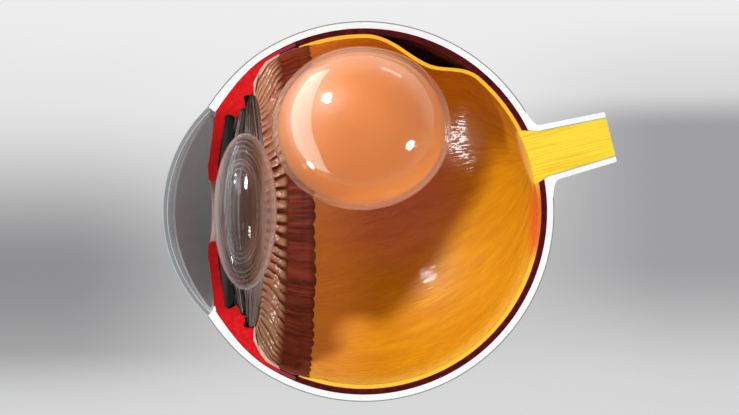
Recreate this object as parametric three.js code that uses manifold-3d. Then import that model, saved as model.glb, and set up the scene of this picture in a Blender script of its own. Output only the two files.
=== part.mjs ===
// Half-section teaching model of a human eye, five times life size: a detached retina, and the gas bubble
// that presses it back. Millimetres. +X runs back along the optical axis towards the nerve, +Z is up, and
// the cut face looks along -Y. The origin is the middle of the flat mounting pad at the back of the globe.
import * as THREE from "three";
import { mergeVertices } from "three/addons/utils/BufferGeometryUtils.js";
import Module from "manifold-3d";

const wasm = await Module();
wasm.setup();

// Driving dimensions of the globe and its layers
const globeRadius = 58.75; // a 23.5 mm eye, five times enlarged
const scleraWall = 2.2;
const limbusThickening = 0.7; // extra wall where the white meets the cornea
const limbusFlattening = 0.65; // how far the white falls inside the circle there
const limbusAngle = 146.2; // angles are degrees from +X, about the globe's centre
const limbusBlendAngle = 122;
const layerGap = 0.25; // between glued layers and sliding fits
const choroidWall = 1.4;
const retinaWall = 1.1;
const choroidEdgeAngle = 112;
const oraAngle = 108.3; // the serrated edge where the seeing retina ends
const azimuthSteps = 20; // facets round each half ring
const polarStep = 9;

// Cornea
const corneaRise = 3.35; // of its apex, past the circle of the globe
const corneaWall = 1.5;
const corneaTongue = 0.75; // thickness of the tongue in the sclera's groove
const tongueLength = 1.7;

// Iris and its dark back layer
const pupilRadius = 9.2;
const irisWall = 2.9;
const irisRootThickening = 0.5;
const irisSetback = 0.2; // from the limbus plane back to the iris front at the pupil
const irisRise = 1.7; // how far the root lies behind the pupil margin
const irisRootInset = 3.9; // from the limbus radius down to the iris root
const pigmentWall = 0.45;
const pigmentStart = 16.8;

// Lens, in three nested layers
const lensRadius = 24.2;
const lensHalfThickness = 9.6;
const capsuleWall = 1.4;
const nucleusRadius = 14.5;
const nucleusHalfThickness = 5;
const seatGap = 0.3; // between a piece and the seat it pulls out of

// Ciliary processes, pars plana and lens fibres
const processCount = 36; // in the half ring
const oraTeeth = 36;
const oraToothSwing = 0.6; // degrees either side of the ora
const lapGap = 0.45; // between the pars plana and the retina's rim below it
const parsPlanaWall = 0.5;
const fibreCount = 18;
const fibreWidth = 0.5;
const fibreRim = 0.7;
const fibreRimOffset = 2.6; // from the lens equator
const frontSeatInset = 1.3; // inward from the ciliary body's teeth
const rearSeatInset = 1.9;

// Detached fold of the retina
const foldAngle = 66.5;
const foldDepth = 5;
const foldFrontSpan = 23;
const foldRearSpan = 17;
const foldSweep = 66; // how far it runs round behind the cut face

// Optic nerve and its sheath
const nerveHeadAngle = 18;
const nerveTilt = 14;
const nerveHeadRadius = 9;
const nerveNeckRadius = 7;
const nerveEndRadius = 5.9;
const nerveLength = 21.1; // past the sclera
const sheathWall = 1.75;
const sheathFlare = 1.2; // where the sheath meets the globe
const sheathFlareLength = 4;

// Gas bubble, a hollow ball flattened from above
const bubbleHalfWidth = 27.7;
const bubbleHalfHeight = 25.3;
const bubbleWall = 1.8;
const bubbleOverhang = 1.5; // how far its front reaches past the back of the lens
const bubbleHeadroom = 2.6; // under the retina at the top
const stemRadius = 2.4;
const socketDepth = 5;
const socketWall = 1.6;

// Mounting pad, its threaded inserts and the locating peg
const padRadius = 15;
const padHeight = 6;
const insertSpacing = 18;
const insertRadius = 2.8;
const insertBore = 1.7;
const insertDepth = 5.6;
const pegRadius = 3;
const pegLength = 4.5;

const rad = THREE.MathUtils.degToRad;
const lerp = THREE.MathUtils.lerp;
const blend = THREE.MathUtils.smoothstep;

// Radii of the nested layers at a polar angle, from the outside in
const scleraOuter = (angle) => globeRadius - limbusFlattening * blend(angle, limbusBlendAngle, limbusAngle);
const scleraInner = (angle) =>
  scleraOuter(angle) - scleraWall - limbusThickening * blend(angle, limbusBlendAngle, limbusAngle);
const lining = (angle) => scleraInner(angle) - layerGap;
const liningRadius = globeRadius - scleraWall - layerGap;
const choroidInner = liningRadius - choroidWall;
const retinaOuter = choroidInner - layerGap;
const retinaInner = retinaOuter - retinaWall;

const polar = (radius, angle) => [radius * Math.cos(rad(angle)), radius * Math.sin(rad(angle))];
const [limbusX, limbusRadius] = polar(scleraOuter(limbusAngle), limbusAngle);
const irisRootRadius = limbusRadius - irisRootInset;

// Points of an arc about the globe's centre; radiusAt gives the radius at each angle.
function arc(radiusAt, from, to, step = polarStep) {
  const count = Math.max(1, Math.round(Math.abs(to - from) / step));
  return Array.from({ length: count + 1 }, (_, i) => {
    const angle = lerp(from, to, i / count);
    return polar(radiusAt(angle), angle);
  });
}

function signedVolume(positions, faces) {
  const corner = (i) => new THREE.Vector3().fromArray(positions, 3 * i);
  return faces.reduce((sum, [a, b, c]) => sum + corner(a).dot(corner(b).cross(corner(c))) / 6, 0);
}

// Sweeps a closed outline of [x, radius] points about the X axis. Azimuth 0 is up and 180 is down, by way
// of +Y, so 0 to 180 is the half behind the cut face. outlineAt gives the outline at each azimuth.
function turned(outlineAt, { from = 0, to = 180, steps = azimuthSteps } = {}) {
  const full = to - from >= 360;
  const rings = [];
  const positions = [];
  const onAxis = new Map();
  const vertex = (x, radius, azimuth, index) => {
    if (radius < 1e-6 && onAxis.has(index)) return onAxis.get(index);
    positions.push(x, radius * Math.sin(azimuth), radius * Math.cos(azimuth));
    const made = positions.length / 3 - 1;
    if (radius < 1e-6) onAxis.set(index, made);
    return made;
  };
  for (let i = 0; i < (full ? steps : steps + 1); i++) {
    const azimuth = lerp(from, to, i / steps);
    rings.push(outlineAt(azimuth).map(([x, radius], j) => vertex(x, radius, rad(azimuth), j)));
  }
  const faces = [];
  const addFace = (a, b, c) => {
    if (a !== b && b !== c && c !== a) faces.push([a, b, c]);
  };
  const size = rings[0].length;
  for (let i = 0; i < steps; i++) {
    const near = rings[i];
    const far = rings[(i + 1) % rings.length];
    for (let j = 0; j < size; j++) {
      const k = (j + 1) % size;
      addFace(near[j], near[k], far[k]);
      addFace(near[j], far[k], far[j]);
    }
  }
  if (!full) {
    const flat = (azimuth) => outlineAt(azimuth).map(([x, radius]) => new THREE.Vector2(x, radius));
    const [first, last] = [flat(from), flat(to)];
    const turnsLeft = THREE.ShapeUtils.area(first) > 0;
    const cap = (outline, ring, flip) =>
      THREE.ShapeUtils.triangulateShape(outline, []).forEach(([a, b, c]) =>
        flip ? addFace(ring[a], ring[c], ring[b]) : addFace(ring[a], ring[b], ring[c]),
      );
    cap(first, rings[0], turnsLeft);
    cap(last, rings[rings.length - 1], !turnsLeft);
  }
  if (signedVolume(positions, faces) < 0) faces.forEach((face) => face.reverse());
  const geometry = new THREE.BufferGeometry();
  geometry.setAttribute("position", new THREE.Float32BufferAttribute(positions, 3));
  geometry.setIndex(faces.flat());
  return geometry;
}

const halfTurned = (outline) => turned(() => outline);
const sideRange = (side) => (side > 0 ? { from: 0, to: 180 } : { from: 180, to: 360 });
const widerTurned = (outline) => {
  const extra = 180 / azimuthSteps;
  return turned(() => outline, { from: -extra, to: 180 + extra, steps: azimuthSteps + 2 });
};

// Solids for cutting and joining
function solid(geometry) {
  const bare = geometry.clone();
  for (const name of Object.keys(bare.attributes)) if (name !== "position") bare.deleteAttribute(name);
  const merged = mergeVertices(bare, 1e-4);
  const mesh = new wasm.Mesh({
    numProp: 3,
    vertProperties: merged.attributes.position.array,
    triVerts: new Uint32Array(merged.index.array),
  });
  return new wasm.Manifold(mesh);
}

function geometryOf(manifold) {
  const mesh = manifold.getMesh();
  const geometry = new THREE.BufferGeometry();
  geometry.setAttribute("position", new THREE.Float32BufferAttribute(mesh.vertProperties, 3));
  geometry.setIndex([...mesh.triVerts]);
  return geometry;
}

// A cylinder along +Y, as pegs, inserts and the bubble's stem are
function dowel(radius, fromY, toY, x = 0, z = 0, sides = 16) {
  const geometry = new THREE.CylinderGeometry(radius, radius, toY - fromY, sides);
  return solid(geometry.translate(x, (fromY + toY) / 2, z));
}

const cutAwayFront = (geometry) => {
  const reach = 4 * globeRadius;
  return geometry.subtract(solid(new THREE.BoxGeometry(reach, reach, reach).translate(0, -reach / 2, 0)));
};

// A ball about the globe's centre with the layers' own facets, a little past the cut face
const ballCutter = (radius) => solid(widerTurned(arc(() => radius, 0, 180)));

// Nerve frame: along its own axis from the point where it passes the lining
const [nerveHeadX, nerveHeadZ] = polar(liningRadius, nerveHeadAngle);
function placeOnNerve(geometry) {
  return geometry.rotateY(-rad(nerveTilt)).translate(nerveHeadX, 0, nerveHeadZ);
}
const nerveEnd = scleraWall + nerveLength;
const headInset = 4; // how far the nerve is drawn into the globe before the retina's sphere trims it
const nerveRadiusAt = (along) => lerp(nerveNeckRadius, nerveEndRadius, Math.max(0, along) / nerveEnd);

function nerveCutter(clearance) {
  const past = 5;
  const outline = [
    [-2 * headInset, 0],
    [-2 * headInset, nerveNeckRadius + clearance],
    [0, nerveNeckRadius + clearance],
    [nerveEnd + past, nerveRadiusAt(nerveEnd + past) + clearance],
    [nerveEnd + past, 0],
  ];
  return solid(placeOnNerve(turned(() => outline, { to: 360, steps: azimuthSteps })));
}

function headCutter(clearance) {
  const radius = nerveHeadRadius + clearance;
  const outline = [
    [-2 * headInset, 0],
    [-2 * headInset, radius],
    [headInset, radius],
    [headInset, 0],
  ];
  return solid(placeOnNerve(turned(() => outline, { to: 360, steps: azimuthSteps })));
}

// Cornea: two arcs about a centre on the axis, through the apex and the limbus
const corneaApex = globeRadius + corneaRise;
const corneaSag = corneaApex + limbusX;
const corneaRadius = (corneaSag ** 2 + limbusRadius ** 2) / (2 * corneaSag);
const corneaCentre = corneaRadius - corneaApex;
const corneaRimAngle = THREE.MathUtils.radToDeg(Math.asin(limbusRadius / corneaRadius));
const corneaPoint = (radius, angle) => [
  corneaCentre - radius * Math.cos(rad(angle)),
  radius * Math.sin(rad(angle)),
];
function corneaArc(radius, from, to) {
  const count = Math.max(1, Math.round(Math.abs(to - from) / polarStep));
  return Array.from({ length: count + 1 }, (_, i) => corneaPoint(radius, lerp(from, to, i / count)));
}
const tongueAngle = corneaRimAngle + THREE.MathUtils.radToDeg(tongueLength / corneaRadius);
const gapAngle = THREE.MathUtils.radToDeg(layerGap / corneaRadius);

function corneaGeometry() {
  const tongueRadius = corneaRadius - corneaWall + corneaTongue;
  return halfTurned([
    ...corneaArc(corneaRadius, 0, corneaRimAngle - gapAngle),
    corneaPoint(tongueRadius, corneaRimAngle - gapAngle),
    corneaPoint(tongueRadius, tongueAngle),
    ...corneaArc(corneaRadius - corneaWall, tongueAngle, 0),
  ]);
}

function corneaGrooveCutter() {
  const outer = corneaRadius - corneaWall + corneaTongue + layerGap;
  const inner = corneaRadius - corneaWall - layerGap;
  const mouth = corneaRimAngle - 3;
  return solid(
    widerTurned([
      ...corneaArc(outer, mouth, tongueAngle + gapAngle),
      ...corneaArc(inner, tongueAngle + gapAngle, mouth),
    ]),
  );
}

// Sclera: the white half shell with the nerve's half sheath and the mounting pad
const padFace = globeRadius + padHeight;

function scleraGeometry() {
  const wall = [...arc(scleraOuter, 0, limbusAngle), ...arc(scleraInner, limbusAngle, 0)];
  const sheathOuter = (along) => nerveRadiusAt(along) + layerGap + sheathWall;
  const sheathOutline = [
    [-scleraWall / 2, 0],
    [-scleraWall / 2, sheathOuter(0) + sheathFlare],
    [scleraWall, sheathOuter(0) + sheathFlare],
    [scleraWall + sheathFlareLength, sheathOuter(sheathFlareLength)],
    [nerveEnd, sheathOuter(nerveEnd)],
    [nerveEnd, 0],
  ];
  const sheath = solid(placeOnNerve(halfTurned(sheathOutline)));
  const pad = cutAwayFront(dowel(padRadius, globeRadius - scleraWall, padFace, 0, 0, 32));
  const outside = sheath.add(pad).subtract(ballCutter(globeRadius - scleraWall / 2));
  let made = solid(halfTurned(wall))
    .add(outside)
    .subtract(nerveCutter(layerGap))
    .subtract(corneaGrooveCutter())
    .subtract(dowel(pegRadius + layerGap, choroidInner, liningRadius + pegLength + seatGap));
  const insertFloor = padFace - insertDepth - seatGap;
  for (const side of [-1, 1]) {
    const hole = dowel(insertRadius + layerGap, insertFloor, padFace + 1, (side * insertSpacing) / 2);
    made = made.subtract(hole);
  }
  return geometryOf(made);
}

// Choroid: the dark lining behind the retina, with the peg that locates it in the white shell
function choroidGeometry() {
  const shell = solid(
    halfTurned([
      ...arc(() => liningRadius, 0, choroidEdgeAngle),
      ...arc(() => choroidInner, choroidEdgeAngle, 0),
    ]),
  );
  const peg = dowel(pegRadius, liningRadius - choroidWall / 2, liningRadius + pegLength);
  return geometryOf(shell.add(peg).subtract(nerveCutter(layerGap)));
}

// Iris: faces of a shallow cone, as distances along the axis at a radius
const irisFrontX = limbusX + irisSetback;
const irisFrontAt = (radius) =>
  irisFrontX + irisRise * blend(radius, pupilRadius + irisWall, irisRootRadius);
const irisBackAt = (radius) =>
  irisFrontAt(radius) + irisWall + irisRootThickening * blend(radius, pupilRadius, irisRootRadius);

// Lens: its front face lies just behind the iris at the pupil margin
const lensContactRadius = pupilRadius + irisWall;
const ellipseShare = (radius, whole) => Math.sqrt(1 - (radius / whole) ** 2);
const lensBulge = lensHalfThickness * ellipseShare(lensContactRadius, lensRadius);
const lensX = irisBackAt(lensContactRadius) + seatGap + lensBulge;

// Gas bubble: its front clears the back of the lens, and its top lies under the retina
const bubbleCentreX = lensX + lensHalfThickness - bubbleOverhang + bubbleHalfWidth;
const bubbleCentreZ = retinaInner - bubbleHeadroom - bubbleHalfHeight;

// Distance from the globe's centre to the far side of the bubble, in a direction; 0 where it misses
function bubbleReach(direction) {
  const size = new THREE.Vector3(bubbleHalfWidth, bubbleHalfWidth, bubbleHalfHeight);
  const scaled = (v) => v.clone().divide(size);
  const along = scaled(direction);
  const centre = scaled(new THREE.Vector3(bubbleCentreX, 0, bubbleCentreZ));
  const a = along.lengthSq();
  const b = along.dot(centre);
  const inside = b * b - a * (centre.lengthSq() - 1);
  return inside > 0 ? (b + Math.sqrt(inside)) / a : 0;
}

// Retina: the yellow shell, drawn off the choroid in a fold that the bubble bears on
function foldAt(angle, azimuth) {
  const span = angle > foldAngle ? foldFrontSpan : foldRearSpan;
  const across = Math.min(1, Math.abs(angle - foldAngle) / span);
  const round = Math.min(1, azimuth / foldSweep);
  return (foldDepth * (1 + Math.cos(Math.PI * across)) * (1 + Math.cos(Math.PI * round))) / 4;
}

const retinaEdgeAngle = choroidEdgeAngle - 0.4;
const retinaTaperAngle = 104;
const retinaEdgeWall = 0.25;
const retinaInnerAt = (angle) =>
  retinaInner + (retinaWall - retinaEdgeWall) * blend(angle, retinaTaperAngle, retinaEdgeAngle);

function retinaSurface(angle, azimuth) {
  const direction = new THREE.Vector3(
    Math.cos(rad(angle)),
    Math.sin(rad(angle)) * Math.sin(rad(azimuth)),
    Math.sin(rad(angle)) * Math.cos(rad(azimuth)),
  );
  const folded = retinaInnerAt(angle) - foldAt(angle, azimuth);
  return Math.min(retinaInnerAt(angle), Math.max(folded, bubbleReach(direction) + seatGap));
}

function retinaGeometry() {
  const wall = (angle) => retinaOuter - retinaInnerAt(angle);
  const step = 4.5;
  const outlineAt = (azimuth) => [
    ...arc((angle) => retinaSurface(angle, azimuth) + wall(angle), 0, retinaEdgeAngle, step),
    ...arc((angle) => retinaSurface(angle, azimuth), retinaEdgeAngle, 0, step),
  ];
  const shell = solid(turned(outlineAt));
  const stemHole = dowel(stemRadius + layerGap, 0, globeRadius, bubbleCentreX, bubbleCentreZ);
  return geometryOf(shell.subtract(headCutter(layerGap)).subtract(stemHole));
}

// Optic nerve: a half cylinder whose flared head fills the hole in the retina
function nerveGeometry() {
  const head = headCutter(0).intersect(ballCutter(retinaOuter));
  const outline = [
    [-headInset, 0],
    [-headInset, nerveNeckRadius],
    [0, nerveNeckRadius],
    [nerveEnd, nerveEndRadius],
    [nerveEnd, 0],
  ];
  const neck = solid(placeOnNerve(turned(() => outline, { to: 360, steps: azimuthSteps })));
  return geometryOf(cutAwayFront(head.add(neck).subtract(ballCutter(retinaInner))));
}

// Ciliary body: the red wedge between the iris and the choroid. Each row of the outline is an angle
// from +X and a depth below the lining, in thousandths of the globe's radius. The wedge's inner side has
// two teeth, where the lens fibres start.
const depths = (rows) => rows.map(([angle, share]) => [angle, (share * globeRadius) / 1000]);
const bodyFront = depths([
  [147.3, 28.9],
  [145.5, 74.9],
]);
const bodyTeeth = depths([
  [144.1, 84.3],
  [143.8, 127.7],
  [139.5, 114],
  [138.2, 130.2],
  [136.1, 81.7],
]);
const bodyRear = depths([
  [133.4, 116.6],
  [130.6, 66.4],
  [126.1, 33.2],
  [123.1, 16.2],
]);
const tailDepth = 1.05;
const below = ([angle, depth]) => polar(liningRadius - depth, angle);

function ciliaryBodyGeometry() {
  const tailAngle = choroidEdgeAngle + 0.3;
  return halfTurned([
    ...arc(lining, tailAngle, limbusAngle - 1.2),
    ...[...bodyFront, ...bodyTeeth, ...bodyRear].map(below),
    ...arc(() => liningRadius - tailDepth, processEndAngle + 1.5, tailAngle, polarStep / 3),
  ]);
}

// Ciliary processes: a ring of ridges on the wedge's rear face
const processEndAngle = 118.2;
const processBase = [...bodyRear, [processEndAngle, tailDepth]].map(([angle, depth]) => [
  angle,
  depth + layerGap,
]);
const processValley = depths([
  [133.2, 128.5],
  [130.1, 82.6],
  [125.6, 50.2],
  [122.6, 33.2],
  [processEndAngle, 29.8],
]);
const processCrest = depths([
  [132.9, 139.6],
  [128.8, 129.4],
  [124.9, 97],
  [121.6, 61.3],
  [processEndAngle, 32.3],
]);

function processGeometry() {
  const steps = 2 * processCount;
  const inner = (height) =>
    processValley.map(([angle, depth], i) => [
      lerp(angle, processCrest[i][0], height),
      lerp(depth, processCrest[i][1], height),
    ]);
  const outlineAt = (azimuth) => {
    const height = (1 - Math.cos(rad(azimuth * 2 * processCount))) / 2;
    return [...processBase, ...inner(height).reverse()].map(below);
  };
  return turned(outlineAt, { steps });
}

// Pars plana: the dark band behind the ridges, whose toothed edge laps over the retina's thin rim
function parsPlanaGeometry() {
  const frontAngle = processEndAngle - 0.3;
  const frontDepth = tailDepth + layerGap;
  const lapRadius = (angle) => retinaInnerAt(angle) - lapGap;
  const outlineAt = (azimuth) => {
    const edge = oraAngle + oraToothSwing * Math.cos(rad(azimuth * 2 * oraTeeth));
    return [
      below([frontAngle, frontDepth]),
      polar(lapRadius(retinaEdgeAngle), retinaEdgeAngle + 0.6),
      polar(lapRadius(edge), edge),
      polar(lapRadius(edge) - parsPlanaWall / 2, edge),
      polar(lapRadius(retinaEdgeAngle) - parsPlanaWall, retinaEdgeAngle + 0.6),
      below([frontAngle, frontDepth + parsPlanaWall]),
    ];
  };
  return turned(outlineAt, { steps: 2 * oraTeeth });
}

// A shallow half cone with a rounded pupil margin
function irisGeometry() {
  const marginRadius = irisWall / 2;
  const marginArc = Array.from({ length: 5 }, (_, i) => {
    const turn = lerp(-90, 90, i / 4);
    return [
      irisFrontX + marginRadius * (1 + Math.sin(rad(turn))),
      pupilRadius + marginRadius * (1 - Math.cos(rad(turn))),
    ];
  });
  const spread = [0.35, 0.7, 1].map((share) => lerp(pupilRadius + marginRadius, irisRootRadius, share));
  return halfTurned([
    ...spread.map((radius) => [irisFrontAt(radius), radius]).reverse(),
    ...marginArc,
    ...spread.map((radius) => [irisBackAt(radius), radius]),
  ]);
}

function irisBackGeometry() {
  const radii = [pigmentStart, (pigmentStart + irisRootRadius) / 2, irisRootRadius - pigmentWall];
  return halfTurned([
    ...radii.map((radius) => [irisBackAt(radius) + layerGap, radius]),
    ...radii.map((radius) => [irisBackAt(radius) + layerGap + pigmentWall, radius]).reverse(),
  ]);
}

function ellipseArc(halfThickness, radius, count = 10) {
  return Array.from({ length: count + 1 }, (_, i) => {
    const turn = (Math.PI * i) / count;
    return [lensX - halfThickness * Math.cos(turn), Math.max(0, radius * Math.sin(turn))];
  });
}
const onAxisEnds = (points) => points.map(([x, r], i) => [x, i === 0 || i === points.length - 1 ? 0 : r]);

// Half of a hollow layer of the lens, on one side of the cut plane: side 1 is behind it
function lensHalf(side, halfThickness, radius, wall) {
  const outer = onAxisEnds(ellipseArc(halfThickness, radius));
  const inner = onAxisEnds(ellipseArc(halfThickness - wall, radius - wall)).reverse();
  const shell = turned(() => [...outer, ...inner], { ...sideRange(side), steps: azimuthSteps / 2 + 4 });
  return shell.translate(0, (side * layerGap) / 2, 0);
}

const cortexRadius = lensRadius - capsuleWall - layerGap;
const cortexHalfThickness = lensHalfThickness - capsuleWall - layerGap;
const cortexWall =
  Math.min(cortexRadius - nucleusRadius, cortexHalfThickness - nucleusHalfThickness) - layerGap;

function nucleusGeometry() {
  const outline = onAxisEnds(ellipseArc(nucleusHalfThickness, nucleusRadius, 8));
  return turned(() => outline, { to: 360, steps: 20 });
}

// Lens fibres: a rim seated on the ciliary body, a rim round the lens, and strands between them
function fibreRing(side, seat) {
  const rimX = lensX + side * fibreRimOffset;
  const nearEquator = (fibreRimOffset - fibreRim / 2) / lensHalfThickness;
  const rimRadius = lensRadius * Math.sqrt(1 - nearEquator ** 2) + seatGap + fibreRim / 2;
  const rim = ([x, radius]) => {
    const half = fibreRim / 2;
    return solid(
      halfTurned([
        [x - half, radius - half],
        [x + half, radius - half],
        [x + half, radius + half],
        [x - half, radius + half],
      ]),
    );
  };
  const length = Math.hypot(seat[0] - rimX, seat[1] - rimRadius);
  const lean = Math.atan2(seat[0] - rimX, seat[1] - rimRadius);
  const strands = Array.from({ length: fibreCount }, (_, i) => {
    const azimuth = (180 * (i + 0.5)) / fibreCount;
    const strand = new THREE.BoxGeometry(fibreWidth, fibreWidth, length);
    strand.rotateY(lean).translate((seat[0] + rimX) / 2, 0, (seat[1] + rimRadius) / 2);
    return solid(strand.rotateX(-rad(azimuth)));
  });
  return geometryOf(wasm.Manifold.union([rim(seat), rim([rimX, rimRadius]), ...strands]));
}

// Where each rim of fibres is seated: in the two notches of the ciliary body
const notchSeat = ([angle, depth], inward) => below([angle, depth + inward]);
const frontSeat = notchSeat([140.7, bodyTeeth[2][1]], frontSeatInset);
const rearSeat = notchSeat([135.4, bodyTeeth[4][1]], rearSeatInset);

// Half of the bubble's hollow ball. The half behind the cut plane has the stem's socket.
function bubbleHalf(side) {
  const curve = (radius, count) =>
    Array.from({ length: count + 1 }, (_, i) => {
      const turn = (Math.PI * i) / count;
      return [-radius * Math.cos(turn), i === 0 || i === count ? 0 : radius * Math.sin(turn)];
    });
  const outline = [...curve(bubbleHalfWidth, 14), ...curve(bubbleHalfWidth - bubbleWall, 8).reverse()];
  const shell = turned(() => outline, { ...sideRange(side), steps: azimuthSteps / 2 + 4 });
  const flattening = bubbleHalfHeight / bubbleHalfWidth;
  shell.scale(1, 1, flattening).translate(0, (side * layerGap) / 2, 0);
  if (side < 0) return shell.translate(bubbleCentreX, 0, bubbleCentreZ);
  const bossStart = bubbleHalfWidth - socketDepth - socketWall;
  const boss = dowel(stemRadius + layerGap + socketWall, bossStart, bubbleHalfWidth - bubbleWall / 2);
  const socket = dowel(stemRadius + layerGap, bubbleHalfWidth - socketDepth, bubbleHalfWidth + socketDepth);
  const joined = solid(shell).add(boss).subtract(socket);
  return geometryOf(joined).translate(bubbleCentreX, 0, bubbleCentreZ);
}

// Clear stem from the choroid to the bubble's socket
function stemGeometry() {
  const start = bubbleHalfWidth - socketDepth + seatGap;
  const rod = dowel(stemRadius, start, globeRadius, bubbleCentreX, bubbleCentreZ);
  return geometryOf(rod.intersect(ballCutter(choroidInner - layerGap)));
}

function insertGeometry(side) {
  const x = (side * insertSpacing) / 2;
  const body = dowel(insertRadius, padFace - insertDepth, padFace, x);
  return geometryOf(body.subtract(dowel(insertBore, padFace - insertDepth - 1, padFace + 1, x)));
}

// Finishes
const finish = (color, roughness, metalness = 0, opacity = 1) =>
  new THREE.MeshStandardMaterial({ color, roughness, metalness, opacity, transparent: opacity < 1 });
const white = finish(0xf7f5f2, 0.55);
const clear = finish(0xc9d2d3, 0.08, 0, 0.35);
const maroon = finish(0x560a14, 0.5);
const yolk = finish(0xe09016, 0.3);
const nerveYellow = finish(0xf3cf38, 0.45);
const red = finish(0xd0121c, 0.5);
const darkGrey = finish(0x33322f, 0.6);
const tan = finish(0xb48a68, 0.35);
const brown = finish(0x5e2620, 0.4);
const fibreGrey = finish(0x8a8080, 0.3, 0, 0.7);
const lensClear = finish(0x8e8480, 0.1, 0, 0.45);
const bubbleTint = finish(0xe58a4c, 0.05, 0, 0.6);
const brass = finish(0xb08d3c, 0.35, 1);

const globe = new THREE.Group();
globe.position.y = -padFace;
function piece(name, geometry, material) {
  const mesh = new THREE.Mesh(geometry, material);
  mesh.name = name;
  globe.add(mesh);
}

piece("sclera_shell", scleraGeometry(), white);
piece("stand_insert_front", insertGeometry(-1), brass);
piece("stand_insert_rear", insertGeometry(1), brass);
piece("cornea", corneaGeometry(), clear);
piece("choroid_lining", choroidGeometry(), maroon);
piece("ciliary_body", ciliaryBodyGeometry(), red);
piece("iris", irisGeometry(), red);
piece("iris_back_layer", irisBackGeometry(), darkGrey);
piece("ciliary_processes", processGeometry(), tan);
piece("pars_plana", parsPlanaGeometry(), brown);
piece("zonule_fibres_front", fibreRing(-1, frontSeat), fibreGrey);
piece("zonule_fibres_rear", fibreRing(1, rearSeat), fibreGrey);
piece("retina", retinaGeometry(), yolk);
piece("optic_nerve", nerveGeometry(), nerveYellow);
piece("bubble_stem", stemGeometry(), clear);
piece("lens_capsule_near", lensHalf(-1, lensHalfThickness, lensRadius, capsuleWall), lensClear);
piece("lens_capsule_far", lensHalf(1, lensHalfThickness, lensRadius, capsuleWall), lensClear);
piece("lens_cortex_near", lensHalf(-1, cortexHalfThickness, cortexRadius, cortexWall), lensClear);
piece("lens_cortex_far", lensHalf(1, cortexHalfThickness, cortexRadius, cortexWall), lensClear);
piece("lens_nucleus", nucleusGeometry(), lensClear);
piece("bubble_near_half", bubbleHalf(-1), bubbleTint);
piece("bubble_far_half", bubbleHalf(1), bubbleTint);

const model = new THREE.Group();
model.add(globe);
export default model;
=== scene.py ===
# %% [markdown]
# # A classroom model of an eye, cut in half
#
# The model is one half of an eye, five times life size, seen on its cut face. A gas bubble presses a loose
# fold of the yellow retina back against the wall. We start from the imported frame, which fixes where every
# piece is, and dress it piece by piece.

import math
import random

import bmesh
import bpy
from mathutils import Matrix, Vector, noise


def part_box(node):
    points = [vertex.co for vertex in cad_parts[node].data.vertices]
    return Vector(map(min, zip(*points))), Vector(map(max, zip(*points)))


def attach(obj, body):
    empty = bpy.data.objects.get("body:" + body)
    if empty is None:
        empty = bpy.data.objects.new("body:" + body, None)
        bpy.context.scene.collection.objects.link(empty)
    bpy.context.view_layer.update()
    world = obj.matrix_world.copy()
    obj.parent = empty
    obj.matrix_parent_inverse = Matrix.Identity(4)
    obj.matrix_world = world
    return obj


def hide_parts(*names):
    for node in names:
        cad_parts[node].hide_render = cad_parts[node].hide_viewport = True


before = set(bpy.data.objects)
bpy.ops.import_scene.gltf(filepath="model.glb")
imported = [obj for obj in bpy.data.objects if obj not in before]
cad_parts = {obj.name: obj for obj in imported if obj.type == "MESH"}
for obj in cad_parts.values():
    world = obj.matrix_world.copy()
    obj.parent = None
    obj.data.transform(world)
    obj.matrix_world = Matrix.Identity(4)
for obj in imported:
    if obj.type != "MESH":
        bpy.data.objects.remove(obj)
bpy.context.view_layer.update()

# %% [markdown]
# Nearly every part of an eye is turned about one line, the optical axis. So a place is given by three
# numbers: how far along the axis, how far out from it, and how far round. Lengths here are millimetres from
# the centre of the globe, and one function turns them into Blender's metres.

# %% The axis of the eye, and places round it
MM = 0.001
CENTRE = Vector((0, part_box("choroid_lining")[0].y, 0))


def local_place(x, y, z):
    return CENTRE + MM * Vector((x, y, z))


def axis_place(along, out, azimuth):
    """Azimuth 0 is up and 180 is down, by way of the side behind the cut face."""
    turn = math.radians(azimuth)
    return local_place(along, out * math.sin(turn), out * math.cos(turn))


def polar(radius, angle):
    """A point at an angle from the rear end of the axis, as (along, out)."""
    return radius * math.cos(math.radians(angle)), radius * math.sin(math.radians(angle))


def spread(first, last, count):
    return [first + (last - first) * i / (count - 1) for i in range(count)]


def mixed(first, last, share):
    return first + (last - first) * share


def ease(value, low, high):
    share = min(1, max(0, (value - low) / (high - low)))
    return share * share * (3 - 2 * share)


HALF_TURN = spread(0, 180, 121)
print("globe centre:", tuple(round(v, 4) for v in CENTRE))

# %% [markdown]
# A turned piece could be a lathe curve with the Screw modifier. We build the mesh ourselves instead, because
# some outlines change on the way round: the retina has its fold, and the muscle its ridges. The flat faces
# of the cut get a finish of their own, because on the real model the cut is painted by hand.

# %% Meshes become pieces
SHARP_ANGLE = math.radians(35)


def placed(name, data):
    """Puts a mesh, a lamp or a camera in the scene."""
    made = bpy.data.objects.new(name, data)
    bpy.context.scene.collection.objects.link(made)
    return made


def mesh_data(name, mesh):
    data = bpy.data.meshes.new(name)
    mesh.to_mesh(data)
    mesh.free()
    return data


def finished(name, mesh, finishes):
    """Turns a bmesh into a smooth-shaded object with its materials."""
    bmesh.ops.delete(mesh, geom=[edge for edge in mesh.edges if not edge.link_faces], context="EDGES")
    bmesh.ops.recalc_face_normals(mesh, faces=mesh.faces)
    data = mesh_data(name, mesh)
    for finish in finishes:
        data.materials.append(finish.material)
    data.polygons.foreach_set("use_smooth", [True] * len(data.polygons))
    data.set_sharp_from_angle(angle=SHARP_ANGLE)
    return placed(name, data)


print("edges stay sharp from", round(math.degrees(SHARP_ANGLE)), "degrees")

# %% Sweep an outline round a line


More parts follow.
